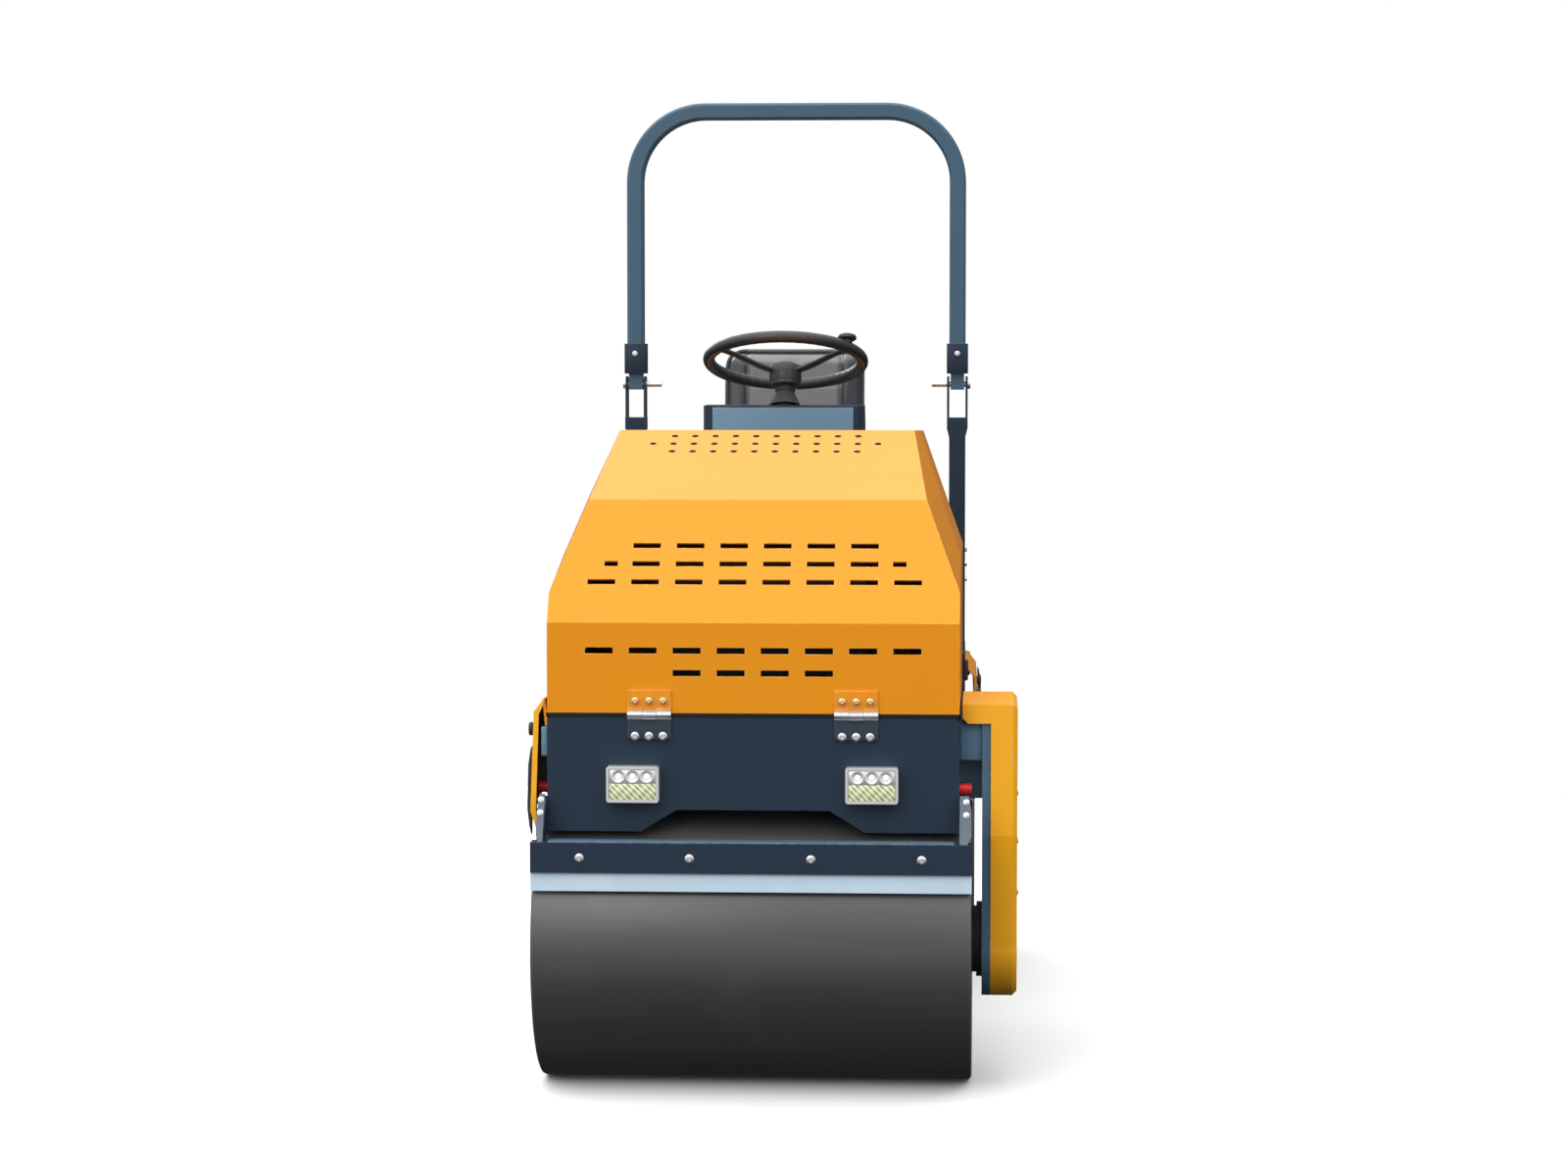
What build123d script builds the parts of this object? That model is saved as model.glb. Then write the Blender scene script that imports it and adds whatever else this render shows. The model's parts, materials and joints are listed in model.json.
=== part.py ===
from build123d import *
from collections import namedtuple
from math import atan2, cos, degrees, hypot, radians, sin, sqrt
import os

# Compact ride-on tandem roller, millimetres.
# Frame: +Z up, the machine faces -Y, +X is its left-hand side as the operator sits.
# The origin is on the ground, midway between the two drum axles.
# The rear chassis is the front one turned half round about Z, as on the real machine.

# ---------------------------------------------------------------- running gear
WHEELBASE = 1440.0
DRUM_RADIUS = 260.0
DRUM_WIDTH = 800.0
DRUM_SHELL = 18.0
DRUM_DISC = 16.0
DRUM_EDGE = 6.0
DISC_RECESS_FREE = 45.0
DISC_RECESS_DRIVE = 70.0
HUB_RADIUS = 90.0
HUB_THICKNESS = 12.0
SPINDLE_RADIUS = 30.0
SPINDLE_LENGTH = 55.0
HUB_BOLT_COUNT = 8
HUB_BOLT_RADIUS = 8.0
HUB_BOLT_HEAD = 7.0
HUB_BOLT_INSET = 14.0
MOTOR_RADIUS = 62.0
MOTOR_FLANGE_RADIUS = 70.0
MOTOR_FLANGE = 10.0

# ---------------------------------------------------------------- clearances
RUNNING_FIT = 0.08
SEAT_GAP = 0.3
MOVING_GAP = 5.0

# ---------------------------------------------------------------- chassis
FRAME_INSET = 23.0
SIDE_PLATE = 8.0
BULKHEAD = 12.0
BULKHEAD_GAP = 15.0
BULKHEAD_DROP = 20.0
PLATFORM = 12.0
PLATFORM_RISE = 3.0
RAIL_HEIGHT = 134.0
RAIL_FLANGE = 36.0
FACE_LEAD = 171.0
FACE_PLATE = 8.0
FACE_HEIGHT = 215.0
FACE_CORNER = 12.0
FRAME_TO_PIVOT = 115.0
ARCH_GAP = 25.0
NOTCH_RISE = 40.0
NOTCH_INSET = 237.0
NOTCH_FOOT_INSET = 172.0

# ---------------------------------------------------------------- centre joint
PIVOT_LIFT = 120.0
STEER_PIN_RADIUS = 22.0
STEER_PIN_CAP = 31.0
PIN_HEAD = 14.0
BOSS_RADIUS = 42.0
BOSS_HEIGHT = 116.0
YOKE_PLATE = 25.0
YOKE_GAP = 2.0
YOKE_END_RADIUS = 58.0
YOKE_ROOT_HALF = 150.0
YOKE_ROOT_DEPTH = 10.0
SWIVEL_RADIUS = 35.0
COLLAR_RADIUS = 50.0
COLLAR_LENGTH = 25.0
BEARING_RADIUS = 60.0
BEARING_START = 170.0
BEARING_FLANGE_RADIUS = 95.0
BEARING_FLANGE = 16.0
RIB = 12.0
RIB_HEIGHT = 150.0
RIB_LEAD = 60.0
RIB_TIP = 20.0

# ---------------------------------------------------------------- steering cylinder
CYL_FOOT_X = 120.0
CYL_FOOT_LEAD = 53.0
CYL_HEAD_X = 80.0
CYL_HEAD_Y = 55.0
CYL_EYE = 24.0
CYL_FOOT_PIN = 10.0
CYL_FOOT_EYE = 22.0
CYL_HEAD_PIN = 6.0
CYL_HEAD_CLEARANCE = 12.5
CYL_HEAD_WALL = 8.0
BARREL_RADIUS = 25.0
BARREL_BORE = 17.0
BARREL_CAP = 20.0
BARREL_START = 17.0
BARREL_TO_HEAD = 140.0
BARREL_NECK = 18.0
ROD_RADIUS = 11.0
PISTON = 22.0
PISTON_START = 137.0
LUG = 12.0
LUG_GAP = 2.0
LINK_ROOT_RADIUS = 29.0
LINK_END_RADIUS = 16.0

# ---------------------------------------------------------------- drum arm
ARM_GAP = 18.0
ARM_PLATE = 16.0
ARM_END_RADIUS = 105.0
ARM_RISE = 18.0
ARM_TOP_LEAD = 25.0
COVER_DEPTH = 49.0
COVER_CHAMFER = 8.0
COVER_LIP = 36.0
COVER_LIP_CUT = 10.0
LIP_SHEET = 6.0
SPACER_DROP = 18.0
SPACER_HEIGHT = 70.0
SPACER_HALF = 110.0
SPACER_LEG = 74.0
SPACER_LEG_HALF = 70.0

# ---------------------------------------------------------------- scraper
BLADE_LIFT = 119.0
BLADE_HEIGHT = 66.0
BLADE_THICKNESS = 8.0
BLADE_GRIP = 32.0
BEAM_HEIGHT = 55.0
BEAM_PLATE = 6.0
BEAM_FLANGE = 34.0
HANGER_PLATE = 10.0
HANGER_REACH = 45.0
HANGER_NOSE = 8.0
HANGER_LOW = 12.0
HANGER_HIGH = 20.0

# ---------------------------------------------------------------- hood
HOOD_SHEET = 4.0
HOOD_FACE = 168.0
HOOD_KNEE_RUN = 156.0
HOOD_KNEE_RISE = 219.0
HOOD_CREST_RUN = 302.0
HOOD_CREST_RISE = 123.0
HOOD_REAR_FALL = 7.0
HOOD_TO_PIVOT = 110.0
HOOD_BREAK = 276.0
HOOD_TOP_INSET = 83.0
HOOD_KNEE_INSET = 63.0
HOOD_CREST_INSET = 92.0
HOOD_FACET = 220.0
HOOD_FACET_START = 0.24

# ---------------------------------------------------------------- hood grilles
# A row lies on a panel at a distance up from the panel's lower edge.
Row = namedtuple("Row", "panel up count pitch length")
SLOT_PITCH = 80.5
SLOT_LENGTH = 51.0
SLOT_WIDTH = 11.0
HALF_SLOT = 25.0
HALF_SLOT_PITCH = 532.0
SLOT_ROWS = [
    Row("face", 76.0, 4, SLOT_PITCH, SLOT_LENGTH),
    Row("face", 117.0, 8, SLOT_PITCH, SLOT_LENGTH),
    Row("slope", 88.0, 8, SLOT_PITCH, SLOT_LENGTH),
    Row("slope", 127.5, 6, SLOT_PITCH, SLOT_LENGTH),
    Row("slope", 127.5, 2, HALF_SLOT_PITCH, HALF_SLOT),
    Row("slope", 167.0, 6, SLOT_PITCH, SLOT_LENGTH),
]
SIDE_SLOT_ROWS = [
    Row("side", 76.0, 4, SLOT_PITCH, SLOT_LENGTH),
    Row("side", 117.0, 4, SLOT_PITCH, SLOT_LENGTH),
]
SIDE_SLOT_LEAD = 480.0
HOLE_RADIUS = 7.0
HOLE_SIDES = 8
HOLE_PITCH = 39.4
HOLE_ROWS = [
    Row("top", 223.4, 10, HOLE_PITCH, HOLE_RADIUS),
    Row("top", 260.0, 12, HOLE_PITCH, HOLE_RADIUS),
    Row("top", 296.6, 10, HOLE_PITCH, HOLE_RADIUS),
]

# ---------------------------------------------------------------- hood hinges
HINGE_INSET = 188.0
HINGE_WIDTH = 80.0
HINGE_LEAF = 45.0
HINGE_SHEET = 3.0
HINGE_RADIUS = 5.5
HINGE_OFF = 0.5
HINGE_PIN = 2.5

# ---------------------------------------------------------------- lamps, pins, side covers
LAMP_INSET = 159.0
LAMP_DROP = 126.0
LAMP_WIDTH = 96.0
LAMP_HEIGHT = 66.0
LAMP_DEPTH = 28.0
LAMP_RECESS = 5.0
LAMP_RIM = 5.0
TIE_PIN_RADIUS = 10.5
TIE_PIN_DROP = 141.0
TIE_PIN_LEAD = 105.0
TIE_PIN_LENGTH = 22.0
SIDE_COVER_SHEET = 4.0
SIDE_COVER_OUT = 32.0
SIDE_COVER_RISE = 30.0
REAR_COVER_FALL = 22.0
SIDE_COVER_DROP = 229.0
SIDE_COVER_REACH = 415.0
SIDE_COVER_BROW = 26.0
SIDE_COVER_BROW_OUT = 25.0
SIDE_COVER_BEND = 50.0
SIDE_COVER_LAP = 22.0

# ---------------------------------------------------------------- engine
ENGINE_WIDTH = 400.0
ENGINE_LENGTH = 430.0
ENGINE_HEIGHT = 400.0
ENGINE_FRONT = 190.0

# ---------------------------------------------------------------- operator's place
DECK_FRONT = 105.0
DECK_RISE = 52.0
DECK_SHEET = 6.0
DECK_LIP = 30.0
DECK_CORNER = 40.0
DECK_GUSSET = 10.0
DECK_GUSSET_INSET = 172.0
DECK_GUSSET_DROP = 142.0
CONSOLE_FRONT = 110.0
CONSOLE_LENGTH = 190.0
CONSOLE_HALF = 167.0
CONSOLE_HEIGHT = 632.0
CONSOLE_CORNER = 20.0
CONSOLE_DROP = 60.0
CONSOLE_FLAT = 137.0
WHEEL_LEAD = 109.0
WHEEL_RISE = 93.0
WHEEL_TILT = 18.0
WHEEL_RADIUS = 162.0
WHEEL_RIM = 12.5
RIM_SIDES = 12
WHEEL_HUB = 34.0
WHEEL_HUB_HALF = 14.0
WHEEL_HUB_CHAMFER = 5.0
WHEEL_DISH = 26.0
SPOKE_COUNT = 3
SPOKE_WIDTH = 22.0
SPOKE_THICKNESS = 8.0
KNOB_RADIUS = 20.0
KNOB_HEIGHT = 34.0
KNOB_STEM = 7.0
KNOB_STEM_LENGTH = 12.0
KNOB_ANGLE = 55.0
COLUMN_RADIUS = 19.0
COLUMN_LENGTH = 220.0
BOOT_RADIUS = 34.0
BOOT_HEIGHT = 30.0
BOOT_DROP = 45.0
HOUSING_HEIGHT = 370.0
HOUSING_SHEET = 4.0
HOUSING_SLOPE = 90.0
HOUSING_SLOPE_HEIGHT = 144.0
HOUSING_BROW = 27.0
HOUSING_BROW_HEIGHT = 36.0
SEAT_OFFSET = -12.0
SEAT_WIDTH = 370.0
SEAT_LENGTH = 340.0
SEAT_REAR_INSET = 166.0
SEAT_RAIL = 22.0
SEAT_PAN = 4.0
SEAT_PAN_INSET = 20.0
SEAT_PAN_LEAD = 70.0
RAIL_WIDTH = 30.0
CUSHION = 100.0
CUSHION_CORNER = 45.0
BACK_WIDTH = 322.0
BACK_HEIGHT = 392.0
BACK_THICKNESS = 80.0
BACK_CORNER = 60.0
BACK_LEAN = 10.0
BACK_LIFT = 35.0
LEVER_INSET = 109.0
LEVER_LEAD = 75.0
LEVER_HEIGHT = 190.0
LEVER_STEM = 6.0
GRIP_RADIUS = 17.0
GRIP_LENGTH = 44.0
GATE_WIDTH = 56.0
GATE_LENGTH = 120.0
GATE_SHEET = 6.0
CAP_RADIUS = 38.0
CAP_HEIGHT = 24.0
CAP_CHAMFER = 4.0
CAP_GAP = 8.0

# ---------------------------------------------------------------- roll-over hoop
HOOP_INSET = 225.0
HOOP_HEIGHT = 623.0
TUBE_WIDTH = 36.0
TUBE_DEPTH = 50.0
TUBE_CORNER = 5.0
HOOP_BEND = 157.0
POST_HEIGHT = 590.0
POST_FOOT = 8.0
SLEEVE_START = 24.0
SLEEVE_END = 90.0
SLEEVE_WALL = 5.0
FORK_HALF = 18.0
FORK_FLOOR = 74.0
FORK_BLOCK = 24.0
NECK = 20.0
TONGUE_INSET = 3.0
TONGUE_TAIL = 12.0
FOLD_PIN = 6.0
FOLD_PIN_HEAD = 10.0
FOLD_PIN_CAP = 6.0
FOLD_PIN_HANDLE = 34.0

# ---------------------------------------------------------------- towing eye
TOW_EYE_RADIUS = 15.0
TOW_LUG = 20.0
TOW_LUG_REACH = 55.0
TOW_LUG_HALF = 30.0
TOW_LUG_CORNER = 24.0
TOW_DROP = 49.0

# ---------------------------------------------------------------- places worked out
AXLE_Y = WHEELBASE / 2
AXLE_Z = DRUM_RADIUS
HALF_WIDTH = DRUM_WIDTH / 2
FRAME_HALF = HALF_WIDTH - FRAME_INSET
FACE_Y = -(AXLE_Y + FACE_LEAD)
BULKHEAD_FACE = -(AXLE_Y - DRUM_RADIUS - BULKHEAD_GAP)
BULKHEAD_BACK = BULKHEAD_FACE + BULKHEAD
PLATFORM_Z = AXLE_Z + DRUM_RADIUS + ARCH_GAP + PLATFORM_RISE
PLATFORM_TOP = PLATFORM_Z + PLATFORM
RAIL_TOP = PLATFORM_TOP + RAIL_HEIGHT
FACE_BOTTOM = RAIL_TOP - FACE_HEIGHT
NOTCH_TOP = FACE_BOTTOM + NOTCH_RISE
BULKHEAD_BOTTOM = AXLE_Z - BULKHEAD_DROP
ARM_INNER = HALF_WIDTH + ARM_GAP
ARM_OUTER = ARM_INNER + ARM_PLATE
ARM_TOP_Z = RAIL_TOP + ARM_RISE
PIVOT_Z = AXLE_Z + PIVOT_LIFT
BOSS_LOW = PIVOT_Z - BOSS_HEIGHT / 2
BOSS_HIGH = PIVOT_Z + BOSS_HEIGHT / 2
CYL_FOOT_Y = BULKHEAD_BACK + CYL_FOOT_LEAD
CYL_RUN = hypot(CYL_HEAD_X - CYL_FOOT_X, CYL_HEAD_Y - CYL_FOOT_Y)
CYL_ANGLE = degrees(atan2(CYL_HEAD_Y - CYL_FOOT_Y, CYL_HEAD_X - CYL_FOOT_X))
BLADE_BOTTOM = AXLE_Z + BLADE_LIFT
BLADE_TOP = BLADE_BOTTOM + BLADE_HEIGHT
BEAM_BOTTOM = BLADE_TOP - BLADE_GRIP
BEAM_TOP = BEAM_BOTTOM + BEAM_HEIGHT
SCRAPER_HALF = HALF_WIDTH
HOOD_BASE = RAIL_TOP + SEAT_GAP
BROW_Z = RAIL_TOP + HOOD_FACE
KNEE_Y = FACE_Y + HOOD_KNEE_RUN
KNEE_Z = BROW_Z + HOOD_KNEE_RISE
CREST_Y = KNEE_Y + HOOD_CREST_RUN
CREST_Z = KNEE_Z + HOOD_CREST_RISE
HOOD_TOP = CREST_Z - HOOD_REAR_FALL
BREAK_Z = RAIL_TOP + HOOD_BREAK
HINGE_X = FRAME_HALF - HINGE_INSET
HINGE_Y = FACE_Y - HINGE_RADIUS - HINGE_OFF
LAMP_X = FRAME_HALF - LAMP_INSET
LAMP_Z = RAIL_TOP - LAMP_DROP
DECK_TOP = PLATFORM_TOP + DECK_RISE
CONSOLE_TOP = DECK_TOP + CONSOLE_HEIGHT
WHEEL_Y = CONSOLE_FRONT + WHEEL_LEAD
WHEEL_Z = CONSOLE_TOP + WHEEL_RISE
HOUSING_TOP = PLATFORM_TOP + HOUSING_HEIGHT
SEAT_REAR = -FACE_Y - SEAT_REAR_INSET
SEAT_FRONT = SEAT_REAR - SEAT_LENGTH
CUSHION_BOTTOM = HOUSING_TOP + SEAT_RAIL + SEAT_GAP
LEVER_X = FRAME_HALF - LEVER_INSET
LEVER_Y = -BULKHEAD_BACK + BULKHEAD + LEVER_LEAD
HOOP_Y = -FACE_Y - HOOP_INSET
FOLD_Z = RAIL_TOP + POST_HEIGHT
HOOP_TOP = FOLD_Z + HOOP_HEIGHT
POST_X = FRAME_HALF - TUBE_WIDTH / 2


# ---------------------------------------------------------------- shape helpers
def block(x0, x1, y0, y1, z0, z1):
    """Box between two opposite corners."""
    centre = Pos((x0 + x1) / 2, (y0 + y1) / 2, (z0 + z1) / 2)
    return centre * Box(abs(x1 - x0), abs(y1 - y0), abs(z1 - z0))


def rod_x(radius, x0, x1, y, z):
    return Pos((x0 + x1) / 2, y, z) * Rot(0, 90, 0) * Cylinder(radius, abs(x1 - x0))


def rod_y(radius, y0, y1, x, z):
    return Pos(x, (y0 + y1) / 2, z) * Rot(90, 0, 0) * Cylinder(radius, abs(y1 - y0))


def rod_z(radius, z0, z1, x, y):
    return Pos(x, y, (z0 + z1) / 2) * Cylinder(radius, abs(z1 - z0))


def plate_yz(outline, x0, x1):
    """Plate whose outline is given in (y, z), between two x values."""
    face = make_face(Polyline(*[(x0, y, z) for y, z in outline], close=True))
    return extrude(face, x1 - x0, dir=(1, 0, 0))


def plate_xz(outline, y0, y1):
    """Plate whose outline is given in (x, z), between two y values."""
    face = make_face(Polyline(*[(x, y0, z) for x, z in outline], close=True))
    return extrude(face, y1 - y0, dir=(0, 1, 0))


def plate_xy(outline, z0, z1):
    """Plate whose outline is given in (x, y), between two z values."""
    face = make_face(Polyline(*[(x, y, z0) for x, y in outline], close=True))
    return extrude(face, z1 - z0, dir=(0, 0, 1))


def both_sides(shape):
    """The shape and its mirror image across the machine's middle plane."""
    return Compound(children=[shape, mirror(shape, about=Plane.YZ)])


def turned(shape):
    """The same piece on the rear chassis."""
    return Rot(0, 0, 180) * shape


def spread(count, pitch):
    """Places of a row of evenly pitched copies about its middle."""
    return [(i - (count - 1) / 2) * pitch for i in range(count)]


# ---------------------------------------------------------------- drum
def hub_bolt(face):
    """Hexagon head on the hub's outer face, at the top of the bolt circle."""
    head = extrude(RegularPolygon(HUB_BOLT_RADIUS, 6), HUB_BOLT_HEAD)
    return Pos(face, 0, HUB_RADIUS - HUB_BOLT_INSET) * Rot(0, 90, 0) * head


def drum():
    """Welded shell with two recessed end discs and the drive hub; drive side at +X."""
    free_face = -HALF_WIDTH + DISC_RECESS_FREE
    drive_face = HALF_WIDTH - DISC_RECESS_DRIVE
    hub_face = drive_face + HUB_THICKNESS
    bore = DRUM_RADIUS - DRUM_SHELL
    shell = rod_x(DRUM_RADIUS, -HALF_WIDTH, HALF_WIDTH, 0, 0)
    shell = chamfer(shell.edges().filter_by(GeomType.CIRCLE), DRUM_EDGE)
    shell -= rod_x(bore, -HALF_WIDTH, HALF_WIDTH, 0, 0)
    discs = rod_x(bore, free_face, free_face + DRUM_DISC, 0, 0)
    discs += rod_x(bore, drive_face - DRUM_DISC, drive_face, 0, 0)
    discs -= rod_x(SPINDLE_RADIUS, drive_face - DRUM_DISC, drive_face, 0, 0)
    hub = rod_x(HUB_RADIUS, drive_face, hub_face, 0, 0)
    spindle = rod_x(SPINDLE_RADIUS, drive_face, hub_face + SPINDLE_LENGTH, 0, 0)
    body = shell + discs + hub + spindle
    for i in range(HUB_BOLT_COUNT):
        body += Rot(i * 360 / HUB_BOLT_COUNT, 0, 0) * hub_bolt(hub_face)
    return Pos(0, -AXLE_Y, AXLE_Z) * body


def motor():
    """Drive motor housing on the arm; the drum's spindle turns in its bore."""
    hub_face = HALF_WIDTH - DISC_RECESS_DRIVE + HUB_THICKNESS
    inner = hub_face + HUB_BOLT_HEAD + MOVING_GAP
    bore_end = hub_face + SPINDLE_LENGTH + MOVING_GAP / 2
    body = rod_x(MOTOR_RADIUS, inner, ARM_INNER, -AXLE_Y, AXLE_Z)
    body += rod_x(MOTOR_FLANGE_RADIUS, ARM_INNER - MOTOR_FLANGE, ARM_INNER, -AXLE_Y, AXLE_Z)
    return body - rod_x(SPINDLE_RADIUS + RUNNING_FIT, inner, bore_end, -AXLE_Y, AXLE_Z)


# ---------------------------------------------------------------- drum arm
def arm_outline(top, inset):
    """Side outline of the arm: a half-round foot about the axle, widening to a head that may be inset."""
    foot = ARM_END_RADIUS
    head = ARM_END_RADIUS + ARM_TOP_LEAD - inset
    shoulder = AXLE_Z + 2 * ARM_END_RADIUS
    sides = Polyline(
        (0, -AXLE_Y - foot, AXLE_Z),
        (0, -AXLE_Y - head, shoulder),
        (0, -AXLE_Y - head, top),
        (0, -AXLE_Y + head, top),
        (0, -AXLE_Y + head, shoulder),
        (0, -AXLE_Y + foot, AXLE_Z),
    )
    round_foot = ThreePointArc(
        (0, -AXLE_Y + foot, AXLE_Z), (0, -AXLE_Y, AXLE_Z - foot), (0, -AXLE_Y - foot, AXLE_Z)
    )
    return make_face(sides + round_foot)


def arm():
    """Single-sided arm plate with the stepped spacer that ties it to the chassis."""
    outline = arm_outline(ARM_TOP_Z - LIP_SHEET, LIP_SHEET)
    plate = extrude(Pos(ARM_INNER, 0, 0) * outline, ARM_PLATE, dir=(1, 0, 0))
    top = RAIL_TOP - SPACER_DROP
    step = top - SPACER_HEIGHT
    spacer = block(FRAME_HALF, ARM_INNER, -AXLE_Y - SPACER_HALF, -AXLE_Y + SPACER_HALF, step, top)
    leg = block(FRAME_HALF, ARM_INNER, -AXLE_Y - SPACER_LEG_HALF, -AXLE_Y + SPACER_LEG_HALF,
                step - SPACER_LEG, step)
    return plate + spacer + leg


def arm_cover():
    """Pressed cover outside the arm, with a lip that wraps the arm's head and reaches in over the spacer."""
    cover = extrude(Pos(ARM_OUTER, 0, 0) * arm_outline(ARM_TOP_Z, 0.0), COVER_DEPTH, dir=(1, 0, 0))
    cover = chamfer(cover.faces().sort_by(Axis.X)[-1].edges(), COVER_CHAMFER)
    head = ARM_END_RADIUS + ARM_TOP_LEAD
    inner = FRAME_HALF + MOVING_GAP
    lip_bottom = ARM_TOP_Z - COVER_LIP
    lip = plate_xz(
        [(inner, ARM_TOP_Z), (ARM_OUTER, ARM_TOP_Z), (ARM_OUTER, lip_bottom),
         (inner + COVER_LIP_CUT, lip_bottom), (inner, lip_bottom + COVER_LIP_CUT)],
        -AXLE_Y - head, -AXLE_Y + head,
    )
    plate_space = arm_outline(ARM_TOP_Z - LIP_SHEET + SEAT_GAP, LIP_SHEET - SEAT_GAP)
    lip -= extrude(Pos(ARM_INNER - SEAT_GAP, 0, 0) * plate_space, ARM_PLATE + SEAT_GAP, dir=(1, 0, 0))
    lip -= block(inner, ARM_INNER, -AXLE_Y - SPACER_HALF - SEAT_GAP, -AXLE_Y + SPACER_HALF + SEAT_GAP,
                 lip_bottom, RAIL_TOP - SPACER_DROP + SEAT_GAP)
    return cover + lip


# ---------------------------------------------------------------- chassis
def chassis(rear):
    """Welded chassis: two arched side plates, platform, bulkhead and an end wall at y = rear."""
    inner_face = FACE_Y + FACE_PLATE
    inside = FRAME_HALF - SIDE_PLATE
    side = plate_yz(
        [(inner_face, RAIL_TOP), (rear, RAIL_TOP), (rear, PLATFORM_Z), (BULKHEAD_FACE, PIVOT_Z),
         (BULKHEAD_FACE, AXLE_Z), (inner_face, AXLE_Z)],
        inside, FRAME_HALF,
    )
    side -= rod_x(DRUM_RADIUS + ARCH_GAP, 0, FRAME_HALF + 1, -AXLE_Y, AXLE_Z)
    side += block(FRAME_HALF - RAIL_FLANGE, FRAME_HALF, inner_face, rear, RAIL_TOP - SIDE_PLATE, RAIL_TOP)
    platform = block(-inside, inside, inner_face, rear, PLATFORM_Z, PLATFORM_TOP)
    bulkhead = block(-FRAME_HALF, FRAME_HALF, BULKHEAD_FACE, BULKHEAD_BACK, BULKHEAD_BOTTOM, PLATFORM_Z)
    end_wall = block(-inside, inside, rear - BULKHEAD, rear, PLATFORM_TOP, RAIL_TOP)
    return side + mirror(side, about=Plane.YZ) + platform + bulkhead + end_wall


def front_chassis():
    """Front chassis: its platform reaches back over the centre joint, under the hood."""
    return chassis(-FRAME_TO_PIVOT)


def rear_chassis():
    """Rear chassis: it ends at the bulkhead, where the footplate begins."""
    return turned(chassis(BULKHEAD_BACK))


def face_plate():
    """Front plate below the hood, notched over the drum."""
    half = FRAME_HALF
    notch = FRAME_HALF - NOTCH_INSET
    foot = FRAME_HALF - NOTCH_FOOT_INSET
    outline = [
        (-half, FACE_BOTTOM), (-foot, FACE_BOTTOM), (-notch, NOTCH_TOP), (notch, NOTCH_TOP),
        (foot, FACE_BOTTOM), (half, FACE_BOTTOM), (half, RAIL_TOP - FACE_CORNER),
        (half - FACE_CORNER, RAIL_TOP), (FACE_CORNER - half, RAIL_TOP), (-half, RAIL_TOP - FACE_CORNER),
    ]
    return plate_xz(outline, FACE_Y, FACE_Y + FACE_PLATE)


def lamps():
    """Two work lamp bodies with a recessed face."""
    x0 = LAMP_X - LAMP_WIDTH / 2
    x1 = LAMP_X + LAMP_WIDTH / 2
    z0 = LAMP_Z - LAMP_HEIGHT / 2
    z1 = LAMP_Z + LAMP_HEIGHT / 2
    front = FACE_Y - LAMP_DEPTH
    body = block(x0, x1, front, FACE_Y, z0, z1)
    body = fillet(body.edges().filter_by(Axis.Y), LAMP_RIM)
    body -= block(x0 + LAMP_RIM, x1 - LAMP_RIM, front, front + LAMP_RECESS, z0 + LAMP_RIM, z1 - LAMP_RIM)
    return both_sides(body)


def tie_pins():
    """Tie-down pins, one through each side plate's front corner."""
    y = -AXLE_Y - TIE_PIN_LEAD
    return both_sides(rod_x(TIE_PIN_RADIUS, FRAME_HALF, FRAME_HALF + TIE_PIN_LENGTH, y, RAIL_TOP - TIE_PIN_DROP))


def side_cover(top):
    """Bowed sheet cover on the drum's free side, arched over the drum, with its top edge at a height."""
    root = -FRAME_HALF
    gap = root - MOVING_GAP
    out = root - SIDE_COVER_OUT
    brow = root - SIDE_COVER_BROW_OUT
    low = RAIL_TOP - SIDE_COVER_DROP
    y0 = FACE_Y + MOVING_GAP
    y1 = y0 + SIDE_COVER_REACH
    bow = [(gap, top), (brow, top - SIDE_COVER_BROW), (out, low + SIDE_COVER_BEND), ((root + out) / 2, low)]
    sheet = [(x + SIDE_COVER_SHEET, z) for x, z in reversed(bow)]
    cover = plate_xz(bow + sheet, y0, y1)
    lap = min(top, RAIL_TOP) - SEAT_GAP
    bend = lap - SIDE_COVER_LAP
    cover += plate_xz([(root, lap), (gap, top), (gap - SIDE_COVER_SHEET, top - SIDE_COVER_SHEET),
                       (root - SIDE_COVER_SHEET, bend), (root, bend)], y0, y1)
    return cover - rod_x(DRUM_RADIUS + ARCH_GAP / 2, root - 2 * SIDE_COVER_OUT, root, -AXLE_Y, AXLE_Z)


def front_side_cover():
    """Front cover: it rises past the rail and overlaps the hood's lower edge."""
    return side_cover(RAIL_TOP + SIDE_COVER_RISE)


def rear_side_cover():
    """Rear cover: it ends under the rail, clear of the hoop post."""
    return turned(side_cover(RAIL_TOP - REAR_COVER_FALL))


# ---------------------------------------------------------------- scraper
def blade_face():
    """Y of the blade's rear face, set so that its tip clears the drum."""
    reach = DRUM_RADIUS + MOVING_GAP
    return -AXLE_Y - sqrt(reach ** 2 - (AXLE_Z - BLADE_BOTTOM) ** 2)


def scraper_blade():
    y = blade_face()
    return block(-SCRAPER_HALF, SCRAPER_HALF, y - BLADE_THICKNESS, y, BLADE_BOTTOM, BLADE_TOP)


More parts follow.
